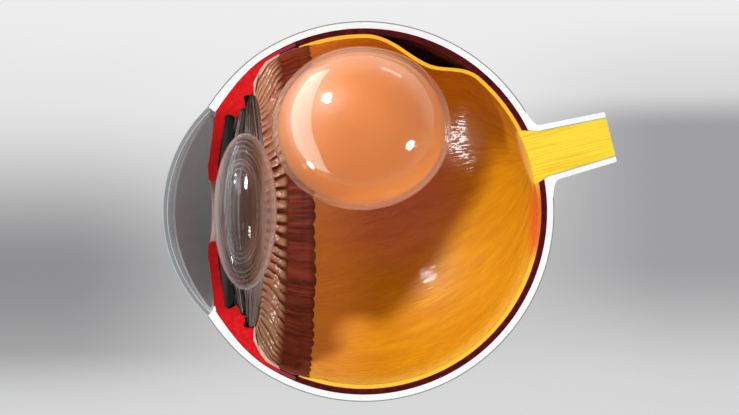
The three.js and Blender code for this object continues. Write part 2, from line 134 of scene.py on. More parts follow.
def swept(name, outline_at, azimuths, finishes, place=axis_place, around=False):
    """outline_at(azimuth) gives a closed outline of (along, out). The last finish is for the cut faces."""
    mesh = bmesh.new()
    rings = []
    for azimuth in azimuths:
        rings.append([mesh.verts.new(place(x, r, azimuth)) for x, r in outline_at(azimuth)])
    size = len(rings[0])
    for i in range(len(rings) - (0 if around else 1)):
        near, far = rings[i], rings[(i + 1) % len(rings)]
        for j in range(size):
            k = (j + 1) % size
            mesh.faces.new((near[j], far[j], far[k], near[k]))
    if not around:
        for ring in (rings[0], rings[-1]):
            cap = mesh.faces.new(ring)
            cap.material_index = len(finishes) - 1
            bmesh.ops.triangulate(mesh, faces=[cap])
    bmesh.ops.remove_doubles(mesh, verts=mesh.verts, dist=1e-7)
    return finished(name, mesh, finishes)


# %% [markdown]
# Holes and joins are cut with the Boolean modifier. It is applied at once, so that the final mesh is a plain
# one, and the tool is thrown away.

# %% Cut, join, and say what a piece stands for
IN_FRONT_OF_CUT = (-90, -60, -90), (90, 0, 90)


def carve(piece, tool, operation="DIFFERENCE"):
    cut = piece.modifiers.new("carve", "BOOLEAN")
    cut.operation = operation
    cut.solver = "MANIFOLD"
    cut.object = tool
    graph = bpy.context.evaluated_depsgraph_get()
    carved = bpy.data.meshes.new_from_object(piece.evaluated_get(graph))
    piece.modifiers.clear()
    piece.data = carved
    piece.data.set_sharp_from_angle(angle=SHARP_ANGLE)
    bpy.data.objects.remove(tool)
    return piece


def block(low, high, finish):
    mesh = bmesh.new()
    bmesh.ops.create_cube(mesh, size=1)
    for vertex in mesh.verts:
        vertex.co = local_place(*(low[i] if vertex.co[i] < 0 else high[i] for i in range(3)))
    return finished("block", mesh, [finish])


def cut_flat(piece, finish, slot=0):
    """Takes off whatever stands in front of the cut plane, and gives the cut its finish slot."""
    carve(piece, block(*IN_FRONT_OF_CUT, finish))
    for face in piece.data.polygons:
        if face.normal.y < -0.99 and abs(face.center.y - CENTRE.y) < 1e-5:
            face.material_index = slot
    return piece


def belongs(piece, body, slot, *nodes):
    """Rides on a body and stands for its CAD nodes, which it hides. The slot is not used."""
    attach(piece, body)
    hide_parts(*nodes)
    print(piece.name, "rides on", body, "with", len(piece.data.polygons), "faces")
    return piece


# %% [markdown]
# A finish or a background is a tree of nodes. Adding each node and its links by hand takes four lines, so a
# small class does it in one. The colours are written as they look on a screen, and `tint` turns them into
# the renderer's linear values.

# %% Short ways to add nodes


def tint(red, green, blue):
    def linear(level):
        share = level / 255
        return share / 12.92 if share <= 0.04045 else ((share + 0.055) / 1.055) ** 2.4

    return linear(red), linear(green), linear(blue), 1.0


def grey(level):
    return tint(level, level, level)


class Nodes:
    def __init__(self, tree):
        self.tree = tree

    def put(self, target, value):
        """Links a node's output to a socket, or sets the socket to a plain value."""
        if isinstance(value, bpy.types.NodeSocket):
            self.tree.links.new(value, target)
        else:
            target.default_value = value

    def node(self, kind, inputs, output=0, **settings):
        made = self.tree.nodes.new("ShaderNode" + kind)
        for setting, value in settings.items():
            setattr(made, setting, value)
        for socket, value in inputs.items():
            self.put(made.inputs[socket], value)
        return made.outputs[output]

    def vector(self, operation, first, second=None, scale=None, output=0):
        inputs = {0: first}
        if second is not None:
            inputs[1] = second
        if scale is not None:
            inputs["Scale"] = scale
        return self.node("VectorMath", inputs, output, operation=operation)

    def sum(self, operation, first, second=0.0):
        return self.node("Math", {0: first, 1: second}, operation=operation)

    def product(self, first, *others):
        for other in others:
            first = self.sum("MULTIPLY", first, other)
        return first

    def axes(self, where):
        made = self.tree.nodes.new("ShaderNodeSeparateXYZ")
        self.put(made.inputs[0], where)
        return made.outputs

    def flat_length(self, first, second):
        """How long a line is that goes so far one way and so far square to it."""
        return self.vector("LENGTH", self.node("CombineXYZ", {0: first, 1: second}), output="Value")

    def share(self, value, low, high, start=0.0, end=1.0):
        """Runs from start to end, eased, as the value goes from low to high."""
        inputs = {"Value": value, "From Min": low, "From Max": high, "To Min": start, "To Max": end}
        return self.node("MapRange", inputs, interpolation_type="SMOOTHSTEP")

    def mix(self, share, first, second):
        return self.node("Mix", {0: share, 6: first, 7: second}, 2, data_type="RGBA")

    def blend(self, value, low, high, first, second):
        """From the first colour to the second, as the value goes from low to high."""
        return self.mix(self.share(value, low, high), first, second)


print("a mid grey on the screen is", round(grey(128)[0], 3), "in linear light")

# %% [markdown]
# Every finish starts from Blender's Principled shader. Textures read Object coordinates, turned into
# millimetres from the centre of the globe, so a pattern stays on its piece when the piece is lifted out.

# %% A finish


class Finish(Nodes):
    def __init__(self, name, colour, roughness, **shader):
        print("finish:", name)
        self.material = bpy.data.materials.new(name)
        self.material.use_nodes = True
        super().__init__(self.material.node_tree)
        self.shader = self.tree.nodes["Principled BSDF"]
        self.set("Base Color", colour)
        self.set("Roughness", roughness)
        for socket, value in shader.items():
            self.set(socket.replace("_", " "), value)
        from_centre = self.vector("SUBTRACT", self.node("TexCoord", {}, "Object"), tuple(CENTRE))
        self.place = self.vector("SCALE", from_centre, scale=1 / MM)
        self.x, self.y, self.z = self.axes(self.place)

    def set(self, socket, value):
        self.put(self.shader.inputs[socket], value)

    def grain(self, where, scale, detail=3.0, roughness=0.5):
        inputs = {"Vector": where, "Scale": scale, "Detail": detail, "Roughness": roughness}
        return self.node("TexNoise", inputs)

    def streaks(self, axis, around, along):
        """A place that changes fast round an axis and slowly along it, for marks that run along it."""
        unit = tuple(Vector(axis).normalized())
        level = self.vector("DOT_PRODUCT", self.place, unit, output="Value")
        on_axis = self.vector("SCALE", unit, scale=level)
        outward = self.vector("NORMALIZE", self.vector("SUBTRACT", self.place, on_axis))
        slow = self.vector("SCALE", unit, scale=self.product(level, along))
        return self.vector("ADD", self.vector("SCALE", outward, scale=around), slow)

    def bump(self, height, depth, socket="Normal"):
        """depth is how tall the relief is, in millimetres."""
        self.set(socket, self.node("Bump", {"Height": height, "Distance": depth * MM, "Strength": 1.0}))

    def edge(self, power):
        """0 where the surface faces the eye, 1 at its edge: for gloss, glass and thin skins."""
        return self.sum("POWER", self.node("LayerWeight", {"Blend": 0.5}, "Facing"), power)

    def mark(self, name):
        return self.node("Attribute", {}, "Fac", attribute_name=name)

# %% [markdown]
# ## Camera, light and background
#
# The eye is seen square on its cut face. One hard key lamp from the upper left front throws the shadow of
# the rim into the hollow, which is what makes the half ball read as a hollow. The rest is even studio light.

# %% Camera
CAMERA_DISTANCE = 472
CAMERA_ACROSS, CAMERA_UP = 1.7, 1.23
camera_data = bpy.data.cameras.new("camera")
camera_data.lens = 74.5
camera_data.sensor_width = 36
camera = placed("camera", camera_data)
camera.location = local_place(CAMERA_ACROSS, -CAMERA_DISTANCE, CAMERA_UP)
camera.rotation_euler = (math.pi / 2, 0, 0)
bpy.context.scene.camera = camera
bpy.context.scene.view_settings.view_transform = "Standard"
print("camera stands", CAMERA_DISTANCE, "mm in front of the cut")

# %% Key lamp
KEY_WAY = Vector((0.65, 0.475, -0.592))
key_data = bpy.data.lights.new("key", "SUN")
key_data.energy = 3.0
key_data.angle = math.radians(6)
key = placed("key", key_data)
key.rotation_euler = KEY_WAY.to_track_quat("-Z", "Y").to_euler()
print("key lamp shines along", tuple(KEY_WAY))

# %% [markdown]
# The background is a studio sweep: pale above, a darker band behind the middle, paler again below. The
# camera and mirror-like surfaces see the sweep, while the light that falls on the model is plain and even.
# Behind the camera the room is dim, so the flat cut, which mirrors that side, keeps its full colours.

# %% World
world = bpy.data.worlds.new("studio")
bpy.context.scene.world = world
world.use_nodes = True
sweep = Nodes(world.node_tree)
looking_x, looking_y, looking_z = sweep.axes(sweep.node("TexCoord", {}, "Generated"))
rise = sweep.sum("DIVIDE", looking_z, sweep.flat_length(looking_x, looking_y))
to_the_right = sweep.share(looking_x, 0.02, 0.17)
left_upper = sweep.blend(rise, -0.04, 0.075, tint(143, 143, 145), grey(229))
left_sweep = sweep.blend(rise, -0.17, -0.04, grey(197), left_upper)
right_upper = sweep.blend(rise, 0.05, 0.078, tint(159, 159, 161), grey(214))
right_sweep = sweep.blend(rise, -0.115, -0.03, grey(208), right_upper)
both_sides = sweep.mix(to_the_right, left_sweep, right_sweep)
middle = sweep.sum("SUBTRACT", 1.0, sweep.share(sweep.sum("ABSOLUTE", looking_x), 0.05, 0.2))
paler_middle = sweep.mix(sweep.product(middle, 0.45), both_sides, grey(240))
top_glow = sweep.blend(rise, 0.06, 0.14, paler_middle, grey(238))
print("the sweep is painted")

# %% World light
WORLD_LIGHT = (0.53, 0.53, 0.535, 1)
rays = world.node_tree.nodes.new("ShaderNodeLightPath").outputs
mirrored = sweep.sum("MAXIMUM", rays["Is Glossy Ray"], rays["Is Transmission Ray"])
seen = sweep.sum("MAXIMUM", rays["Is Camera Ray"], mirrored)
dim_room = sweep.share(looking_y, -0.15, 0.3, 1.0, 0.0)
room_and_sweep = sweep.mix(dim_room, top_glow, tint(112, 112, 114))
backdrop = world.node_tree.nodes["Background"]
world.node_tree.links.new(sweep.mix(seen, WORLD_LIGHT, room_and_sweep), backdrop.inputs["Color"])
print("light on the model:", WORLD_LIGHT[:3])

# %% [markdown]
# The clear bubble shows round lamps and a tall pale window. They are cards that only mirror-like surfaces
# can see, so they shape the reflections and add nothing to the light.

# %% Reflection cards
BLACK = (0, 0, 0, 1)
WHITE_LIGHT = (1, 1, 1, 1)


def card(name, left, right, strength, colour=WHITE_LIGHT):
    """A glowing strip between two rows of points."""
    mesh = bmesh.new()
    rows = [[mesh.verts.new(point) for point in row] for row in (left, right)]
    for i in range(len(left) - 1):
        mesh.faces.new((rows[0][i], rows[0][i + 1], rows[1][i + 1], rows[1][i]))
    glow = Finish(name, BLACK, 0.5, Emission_Color=colour, Emission_Strength=strength)
    made = placed(name, mesh_data(name, mesh))
    made.data.materials.append(glow.material)
    for kind in ("camera", "diffuse", "transmission", "volume_scatter", "shadow"):
        setattr(made, "visible_" + kind, False)


# %% [markdown]
# Where must a lamp stand for its highlight to fall on one spot of the bubble? We take the spot, reflect the
# line to the camera in the surface there, and walk out along the reflection.

# %% From a highlight to its lamp
BUBBLE_X, BUBBLE_Z = -0.74, 25.65
BUBBLE_HALF_WIDTH, BUBBLE_HALF_HEIGHT = 27.7, 25.3
GAS_SHARE = 0.935
LAMP_DISTANCE = 0.6


def mirrored_way(spot, normal):
    """Where the camera's line goes, mirrored in a surface at a spot."""
    view = (camera.location - spot).normalized()
    return 2 * normal.dot(view) * normal - view


def lamp_place(across, up, distance=LAMP_DISTANCE):
    """For a highlight so far right of and above the bubble's middle, in millimetres."""
    width, height = GAS_SHARE * BUBBLE_HALF_WIDTH, GAS_SHARE * BUBBLE_HALF_HEIGHT
    forward = width * math.sqrt(1 - (across / width) ** 2 - (up / height) ** 2)
    normal = Vector((across / width**2, -forward / width**2, up / height**2)).normalized()
    spot = local_place(BUBBLE_X + across, -forward, BUBBLE_Z + up)
    return spot + distance * mirrored_way(spot, normal), spot


def round_card(name, hub, spot, radius, strength):
    """A disc at hub that faces spot."""
    side = (hub - spot).cross(Vector((0, 0, 1))).normalized() * radius
    upward = (hub - spot).normalized().cross(side)
    turns = [math.radians(a) for a in range(0, 181, 10)]
    left = [hub + upward * math.cos(t) - side * math.sin(t) for t in turns]
    right = [hub + upward * math.cos(t) + side * math.sin(t) for t in turns]
    card(name, left, right, strength)


def pane(name, left, right, strength, colour=WHITE_LIGHT):
    """A window between two rows of highlights on the bubble."""
    card(name, *[[lamp_place(*spot)[0] for spot in row] for row in (left, right)], strength, colour)


# %% Hang up the lamps and the windows
round_card("lamp_upper_left", *lamp_place(-10.1, 7.9), 0.075, 30)
round_card("lamp_right", *lamp_place(14.5, -6.0), 0.07, 34)
round_card("lamp_lower_left", *lamp_place(-15.2, -11.8, 0.5), 0.042, 22)
WINDOW_OUTER = [(-14.6, 15.4), (-18.8, 9.8), (-20.9, 3.9), (-20.6, -2.0), (-18.2, -7.9), (-12.9, -12.9)]
WINDOW_INNER = [(-9.0, 16.9), (-12.8, 10.7), (-14.6, 3.9), (-14.4, -2.0), (-12.3, -7.9), (-9.0, -14.4)]
pane("window", WINDOW_OUTER, WINDOW_INNER, 5.2, tint(224, 250, 255))
pane("skylight", [(6.2, 17.6), (12.2, 14.8)], [(5.8, 16.6), (11.6, 14.0)], 4)
pane("low_light", [(6.4, -21.2), (12.0, -18.8)], [(6.8, -22.0), (12.8, -19.6)], 1.5)
print("reflection cards: 3 lamps and 3 windows")

# %% [markdown]
# The rim shades the ridges and the front of the retina from the key lamp. A small hidden lamp low in the
# hollow lights them from below and behind. It can't reach the cut, so the cut keeps its colours.

# %% Lamps in the hollow


def spot_lamp(name, place, toward, cone, radius, energy):
    data = bpy.data.lights.new(name, "SPOT")
    data.spot_size, data.spot_blend = math.radians(cone), 1.0
    data.shadow_soft_size, data.energy = radius, energy
    lamp = placed(name, data)
    lamp.location = place
    lamp.rotation_euler = (toward - place).to_track_quat("-Z", "Y").to_euler()
    lamp.visible_camera = False
    print(name, "stands at", tuple(round(v, 4) for v in place))
    return lamp


LOW_IN_HOLLOW, UPPER_RIDGES = local_place(5, 8, -15), local_place(-25, 22, 31)
ridge_lamp = spot_lamp("ridge_lamp", LOW_IN_HOLLOW, UPPER_RIDGES, 110, 0.008, 0.04)
ridge_lamp.visible_glossy = False

# %% [markdown]
# Two more lamps with narrow beams only make wet glints: one on the retina beside the bubble, one on the
# lens. Each stands where the camera's line, mirrored in the surface at the glint, comes out.

# %% Lamps for two glints


def glint_lamp(name, spot, normal, distance, cone, radius, energy):
    lamp = spot_lamp(name, spot + distance * mirrored_way(spot, normal), spot, cone, radius, energy)
    lamp.visible_diffuse = False
    return lamp


RETINA_GLINT = local_place(30.2, 36.4, 25.0)
glint_lamp("retina_glint", RETINA_GLINT, (CENTRE - RETINA_GLINT).normalized(), 0.06, 26, 0.004, 0.045)
LENS_GLINT = local_place(-34.6, -22.05, 8.7)
LENS_GLINT_NORMAL = Vector((0.4615, -0.8257, 0.3258))
lens_lamp = glint_lamp("lens_glint", LENS_GLINT, LENS_GLINT_NORMAL, 0.15, 20, 0.034, 17)

# %% Floor
FLOOR_LEVEL = -0.125
FLOOR_RADIUS = 0.9
floor_finish = Finish("pale_floor", grey(205), 0.9)
from_middle = floor_finish.vector("LENGTH", floor_finish.node("TexCoord", {}, "Object"), output="Value")
floor_finish.set("Alpha", floor_finish.share(from_middle, 0.35, FLOOR_RADIUS, 1.0, 0.0))
floor_mesh = bmesh.new()
bmesh.ops.create_circle(floor_mesh, cap_ends=True, radius=FLOOR_RADIUS, segments=96)
for vertex in floor_mesh.verts:
    vertex.co.z = FLOOR_LEVEL
floor = finished("floor", floor_mesh, [floor_finish])
floor.visible_glossy = False

# %% [markdown]
# ## The white shell
#
# The sclera is moulded in one piece with the sheath of the nerve and the mounting pad behind. The globe and
# the sheath are turned about two different lines, so each is swept by itself, a little past the cut. They
# are joined, bored out, and only then cut flat, which keeps the whole cut face in one plane.

# %% Radii of the layers
GLOBE_RADIUS = 58.75
LIMBUS_ANGLE = 146.2
LIMBUS_BLEND = 122
LIMBUS_FLATTENING = 0.65
LIMBUS_THICKENING = 0.7
SCLERA_WALL = 2.2
LINING_OUTER = 56.5
LINING_INNER = 54.76
RETINA_WALL = 1.17
RETINA_INNER = 53.55
DEPTH_DATUM = 56.3
print("globe diameter:", 2 * GLOBE_RADIUS, "mm, with a white wall of", SCLERA_WALL, "mm")


def sclera_outer(angle):
    return GLOBE_RADIUS - LIMBUS_FLATTENING * ease(angle, LIMBUS_BLEND, LIMBUS_ANGLE)


def sclera_inner(angle):
    return sclera_outer(angle) - SCLERA_WALL - LIMBUS_THICKENING * ease(angle, LIMBUS_BLEND, LIMBUS_ANGLE)


def arc(radius_at, first, last, count=110):
    return [polar(radius_at(angle), angle) for angle in spread(first, last, count)]


# %% The nerve's own line
NERVE_TILT = 14
NERVE_HEAD_ANGLE = 18
NERVE_END = SCLERA_WALL + 21.1
NERVE_RADIUS = 7.0
NERVE_TAPER = 1.1
NERVE_CLEARANCE = 0.12
HEAD_FLARE, HEAD_FLARE_LENGTH, HEAD_SLOPE = 0.75, 1.3, 0.28
NERVE_START_X, NERVE_START_Z = polar(DEPTH_DATUM, NERVE_HEAD_ANGLE)
NERVE_LINE = (math.cos(math.radians(NERVE_TILT)), 0.0, math.sin(math.radians(NERVE_TILT)))
NERVE_ACROSS = (-NERVE_LINE[2], 0.0, NERVE_LINE[0])
NERVE_OFFSET = NERVE_START_X * NERVE_ACROSS[0] + NERVE_START_Z * NERVE_ACROSS[2]
NERVE_DEPTH = NERVE_START_X * NERVE_LINE[0] + NERVE_START_Z * NERVE_LINE[2]


def nerve_place(along, out, azimuth):
    """A place round the nerve's line; azimuth 0 is its upper side."""
    turn = math.radians(azimuth)
    level = out * math.cos(turn)
    x = NERVE_START_X + along * NERVE_LINE[0] + level * NERVE_ACROSS[0]
    z = NERVE_START_Z + along * NERVE_LINE[2] + level * NERVE_ACROSS[2]
    return local_place(x, out * math.sin(turn), z)


print("the nerve's line passes", round(NERVE_OFFSET, 2), "mm above the globe's centre")


def nerve_radius(along):
    """Narrower towards its end, and flared where it opens into the retina."""
    past_wall = max(0, along)
    tapered = NERVE_RADIUS - NERVE_TAPER * past_wall / NERVE_END
    flare = HEAD_FLARE * math.exp(-past_wall / HEAD_FLARE_LENGTH)
    return tapered + flare + HEAD_SLOPE * max(0, -along)


# %% [markdown]
# The white has a thin grey line along the outer edge of its cut face, and another beside the nerve. They are
# part of the finish: the shader works out how far a point is from each edge, and lets the outer line fade
# where the sheath joins.

# %% White finish
EDGE_LINE_WIDTH = 0.33
NERVE_LINE_WIDTH = 0.22
white = Finish("white_satin", tint(249, 248, 247), 0.45, Coat_Weight=0.1, Coat_Roughness=0.25)
out_from_middle = white.vector("LENGTH", white.place, output="Value")
mottle = white.grain(white.place, 0.1, 5)
plain_white = white.blend(mottle, 0.35, 0.65, tint(252, 254, 255), tint(246, 248, 248))
towards_limbus = white.sum("DIVIDE", white.x, out_from_middle)
at_limbus, elsewhere = GLOBE_RADIUS - 0.95, GLOBE_RADIUS - EDGE_LINE_WIDTH
edge_radius = white.share(towards_limbus, -0.83, -0.53, at_limbus, elsewhere)
past_edge = white.sum("GREATER_THAN", out_from_middle, edge_radius)
across_sheath = white.vector("DOT_PRODUCT", white.place, NERVE_ACROSS, output="Value")
off_sheath = white.sum("ABSOLUTE", white.sum("SUBTRACT", across_sheath, NERVE_OFFSET))
far_from_sheath = white.share(off_sheath, 12.7, 14.5)
clear_of_sheath = white.sum("MAXIMUM", far_from_sheath, white.sum("LESS_THAN", white.x, 30.0))
on_cut = white.sum("LESS_THAN", white.y, 0.03)
edge_line = white.product(past_edge, clear_of_sheath, 0.85)
along_sheath = white.vector("DOT_PRODUCT", white.place, NERVE_LINE, output="Value")
along_sheath = white.sum("SUBTRACT", along_sheath, NERVE_DEPTH)
narrowing = white.product(along_sheath, NERVE_TAPER / NERVE_END)
bore_now = white.sum("SUBTRACT", NERVE_RADIUS + NERVE_CLEARANCE, narrowing)
by_nerve = white.sum("LESS_THAN", white.sum("SUBTRACT", off_sheath, bore_now), NERVE_LINE_WIDTH)
nerve_line = white.product(by_nerve, white.share(along_sheath, 1.5, 4, 0.0, 0.6))
any_line = white.product(white.sum("MAXIMUM", edge_line, nerve_line), on_cut)
white.set("Base Color", white.mix(any_line, plain_white, tint(95, 100, 98)))
white.bump(white.grain(white.place, 1.4, 4), 0.03)

# %% Sheath and pad outlines
SHEATH_WALL = 2.0
SHEATH_FOOT = -1.1
SHEATH_BEVEL = 0.15
FILLET = 3.9
FILLET_LENGTH = 3.6


def fillet_start(azimuth):
    """Where the wide end of the fillet comes out of the globe, along the nerve's line."""
    turn = math.radians(azimuth)
    out = NERVE_RADIUS + SHEATH_WALL + FILLET
    off_centre = math.hypot(NERVE_OFFSET + out * math.cos(turn), out * math.sin(turn))
    return math.sqrt(GLOBE_RADIUS**2 - off_centre**2) - NERVE_DEPTH


def sheath_outline(azimuth):
    rows = []
    start = fillet_start(azimuth)
    for along in spread(SHEATH_FOOT, NERVE_END, 60):
        flare = FILLET * max(0, 1 - max(0, along - start) / FILLET_LENGTH) ** 3
        tapered = NERVE_RADIUS + SHEATH_WALL - NERVE_TAPER * max(0, along) / NERVE_END
        rows.append((along, tapered + flare))
    end = rows.pop()[1]
    rows += [(NERVE_END - SHEATH_BEVEL, end), (NERVE_END, end - SHEATH_BEVEL)]
    return [*rows, (NERVE_END, 0), (SHEATH_FOOT, 0)]


PAD_FACE = 64.75
PAD_RADIUS = 15
PAD_FILLET = 2.5
pad_side = [(54.5, PAD_RADIUS + PAD_FILLET)]
pad_side += [(56.1 + 2.6 * t, PAD_RADIUS + PAD_FILLET * (1 - t) ** 3) for t in spread(0, 1, 9)]
pad_side += [(PAD_FACE - 0.8, PAD_RADIUS), (PAD_FACE - 0.25, PAD_RADIUS - 0.25), (PAD_FACE, PAD_RADIUS - 0.8)]
print("pad:", 2 * PAD_RADIUS, "mm across; fillet out to", NERVE_RADIUS + SHEATH_WALL + FILLET, "mm")


# %% Dowels turned about a line that runs straight back from the cut face
def straight_back(x=0.0, z=0.0):
    def place(back, out, azimuth):
        turn = math.radians(azimuth)
        return local_place(x + out * math.sin(turn), back, z + out * math.cos(turn))

    return place


def dowel(name, rows, finish, x=0.0, z=0.0, count=72):
    """rows are (distance behind the cut plane, radius)."""
    outline = [(rows[0][0], 0), *rows, (rows[-1][0], 0)]
    turns = spread(0, 360 - 360 / count, count)
    return swept(name, lambda azimuth: outline, turns, [finish], straight_back(x, z), around=True)


# %% Two tools that several pieces are carved with
PAST_CUT = spread(-6, 186, 129)
SHEATH_TURN = spread(0, 356, 90)
BORE_ENDS = (-8, NERVE_END + 3)


def nerve_bore(clearance, finish):
    """The nerve's own room, through each layer that it crosses."""
    wall = [(s, nerve_radius(s) + clearance) for s in spread(*BORE_ENDS, 60)]
    outline = [*wall, (BORE_ENDS[1], 0), (BORE_ENDS[0], 0)]
    return swept("bore", lambda azimuth: outline, SHEATH_TURN, [finish], nerve_place, around=True)


def globe_tool(radius, finish):
    """A ball round the globe's centre."""
    return swept("globe_tool", lambda azimuth: arc(lambda angle: radius, 0, 180), PAST_CUT, [finish])


# %% Shape the white shell
PEG_RADIUS = 3
PEG_END = 60.8
PEG_CLEARANCE = 0.1
INSERT_OFFSETS = (-9, 9)
INSERT_DEPTH = 5.6
INSERT_HOLE = [(PAD_FACE - INSERT_DEPTH - 0.3, 2.82), (PAD_FACE + 1, 2.82)]


def shell_outline(azimuth):
    return arc(sclera_outer, 0, LIMBUS_ANGLE) + arc(sclera_inner, LIMBUS_ANGLE, 0)


shell = swept("white_shell", shell_outline, PAST_CUT, [white])
fittings = swept("fittings", sheath_outline, SHEATH_TURN, [white], nerve_place, around=True)
carve(fittings, dowel("pad", pad_side, white), "UNION")
carve(fittings, globe_tool(GLOBE_RADIUS - 1.1, white))
carve(shell, fittings, "UNION")
carve(shell, nerve_bore(NERVE_CLEARANCE, white))
peg_hole_radius = PEG_RADIUS + PEG_CLEARANCE
carve(shell, dowel("peg_hole", [(50, peg_hole_radius), (PEG_END + 0.3, peg_hole_radius)], white))
for offset in INSERT_OFFSETS:
    carve(shell, dowel("insert_hole", INSERT_HOLE, white, x=offset))
cut_flat(shell, white)
belongs(shell, "sclera", "white_shell", "sclera_shell")

# %% [markdown]
# Two brass threaded inserts in the pad take the screws of a stand. Each is turned with a knurled outside and
# a real screw thread inside: the thread is a groove whose depth depends on both the turn and the height.

# %% Threaded inserts
brass = Finish("brass", tint(190, 150, 72), 0.32, Metallic=1.0)
tarnish = brass.grain(brass.place, 0.9, 4)
brass.set("Base Color", brass.mix(tarnish, tint(200, 160, 84), tint(150, 112, 52)))
brass.set("Roughness", brass.share(tarnish, 0.3, 0.7, 0.24, 0.42))
THREAD_PITCH = 0.7
THREAD_DEPTH = 0.3
THREAD_BORE = 1.7
KNURL_RADIUS = 2.68
KNURL_DEPTH = 0.1
COLLAR_RADIUS = 2.74
INSERT_FOOT = PAD_FACE - INSERT_DEPTH


def insert_outline(azimuth):
    outside = []
    for y in spread(INSERT_FOOT, PAD_FACE, 15):
        knurl = KNURL_RADIUS + KNURL_DEPTH * math.cos(math.radians(24 * azimuth))
        outside.append((y, knurl if INSERT_FOOT + 1 < y < PAD_FACE - 1 else COLLAR_RADIUS))
    inside = []
    for y in spread(PAD_FACE, INSERT_FOOT, 60):
        phase = (y / THREAD_PITCH + azimuth / 360) % 1
        inside.append((y, THREAD_BORE + THREAD_DEPTH * abs(2 * phase - 1)))
    return outside + inside


for end_name, offset in zip(("front", "rear"), INSERT_OFFSETS):
    turns, place = spread(0, 357, 120), straight_back(offset)
    insert = swept("threaded_insert_" + end_name, insert_outline, turns, [brass], place, around=True)
    belongs(insert, "sclera", "brass_insert", "stand_insert_" + end_name)

# %% [markdown]
# ## The lining and the retina
#
# The choroid is a dark maroon cup with a peg behind. The retina lies in it, loose at the top, where it
# stands off the cup in one long fold. The fold is worked out by the same rule as the solid: a smooth hump
# that the bubble pushes back wherever it would cut into it.

# %% Maroon finishes of the lining
maroon = Finish("maroon_inside", tint(66, 24, 20), 0.42, Coat_Weight=0.35, Coat_Roughness=0.22)
vessels = maroon.grain(maroon.streaks((1, 0, 0.2), 5, 0.06), 1.0, 5, 0.6)
maroon.set("Base Color", maroon.blend(vessels, 0.35, 0.7, tint(84, 46, 40), tint(156, 88, 76)))
maroon.bump(vessels, 0.25)
maroon_cut = Finish("maroon_cut", tint(80, 8, 16), 0.5, Specular_IOR_Level=0.1)
flecks = maroon_cut.grain(maroon_cut.place, 0.5, 4)
maroon_tone = maroon_cut.blend(flecks, 0.3, 0.7, tint(62, 5, 12), tint(96, 12, 22))
maroon_cut.set("Base Color", maroon_tone)

# %% Shape the lining
LINING_EDGE = 112


def lining_outline(azimuth):
    return arc(lambda a: LINING_OUTER, 0, LINING_EDGE) + arc(lambda a: LINING_INNER, LINING_EDGE, 0)


lining = swept("maroon_cup", lining_outline, PAST_CUT, [maroon, maroon_cut])
peg_rows = [(LINING_OUTER - 0.8, PEG_RADIUS), (PEG_END - 0.5, PEG_RADIUS), (PEG_END, PEG_RADIUS - 0.5)]
carve(lining, dowel("peg", peg_rows, maroon), "UNION")
carve(lining, nerve_bore(0.03, maroon))
cut_flat(lining, maroon_cut, slot=1)
belongs(lining, "liner", "maroon_lining", "choroid_lining")

# %% How far the bubble reaches from the globe's centre
SEAT_GAP = 0.3


def bubble_reach(direction):
    """Distance to its far side in a direction, or 0 where it is missed."""
    size = (BUBBLE_HALF_WIDTH, BUBBLE_HALF_WIDTH, BUBBLE_HALF_HEIGHT)
    along = Vector([part / half for part, half in zip(direction, size)])
    hub = Vector((BUBBLE_X / size[0], 0, BUBBLE_Z / size[2]))
    a, b = along.dot(along), along.dot(hub)
    inside = b * b - a * (hub.dot(hub) - 1)
    return (b + math.sqrt(inside)) / a if inside > 0 else 0


print("the bubble reaches", round(bubble_reach((0, 0, 1)), 2), "mm upwards from the globe's centre")

# %% The retina's surface, with its fold
FOLD_ANGLE = 66.5
FOLD_DEPTH = 5
FOLD_SPANS = (23, 17)
FOLD_SWEEP = 66
RETINA_EDGE = 111.6
RETINA_TAPER = 104
RETINA_EDGE_WALL = 0.28


def fold_depth(angle, azimuth):
    span = FOLD_SPANS[0] if angle > FOLD_ANGLE else FOLD_SPANS[1]
    across = min(1, abs(angle - FOLD_ANGLE) / span)
    around = min(1, azimuth / FOLD_SWEEP)
    return FOLD_DEPTH * (1 + math.cos(math.pi * across)) * (1 + math.cos(math.pi * around)) / 4


def retina_flat(angle):
    return RETINA_INNER + (RETINA_WALL - RETINA_EDGE_WALL) * ease(angle, RETINA_TAPER, RETINA_EDGE)


def retina_surface(angle, azimuth):
    x, out = polar(1, angle)
    turn = math.radians(azimuth)
    reach = bubble_reach((x, out * math.sin(turn), out * math.cos(turn)))
    folded = retina_flat(angle) - fold_depth(angle, azimuth)
    return min(retina_flat(angle), max(folded, reach + SEAT_GAP))


print("the fold stands", round(RETINA_INNER - retina_surface(FOLD_ANGLE, 0), 2), "mm off the lining")


def retina_outline(azimuth):
    def outer(angle):
        return retina_surface(angle, azimuth) + RETINA_INNER + RETINA_WALL - retina_flat(angle)

    return arc(outer, 0, RETINA_EDGE, 120) + arc(lambda a: retina_surface(a, azimuth), RETINA_EDGE, 0, 120)


# %% [markdown]
# The retina's colour is a warm yolk yellow with fine streaks, the nerve fibres, that all run to the disc
# where the nerve leaves. One noise texture, stretched round the disc's direction, gives the streaks, their
# relief and the broken gloss. The disc has a pale rim, and below it the macula is a red-orange spot.

# %% Retina finishes
DISC = polar(1, NERVE_HEAD_ANGLE)
DISC_DIRECTION = (DISC[0], 0.0, DISC[1])
MACULA_DIRECTION = (0.998, 0.02, -0.052)


def direction_share(finish, direction, near, far):
    """1 near a direction from the globe's centre, 0 beyond the far angle, both in degrees."""
    unit = finish.vector("NORMALIZE", finish.place)
    dot = finish.vector("DOT_PRODUCT", unit, tuple(Vector(direction).normalized()), output="Value")
    return finish.share(dot, math.cos(math.radians(far)), math.cos(math.radians(near)))


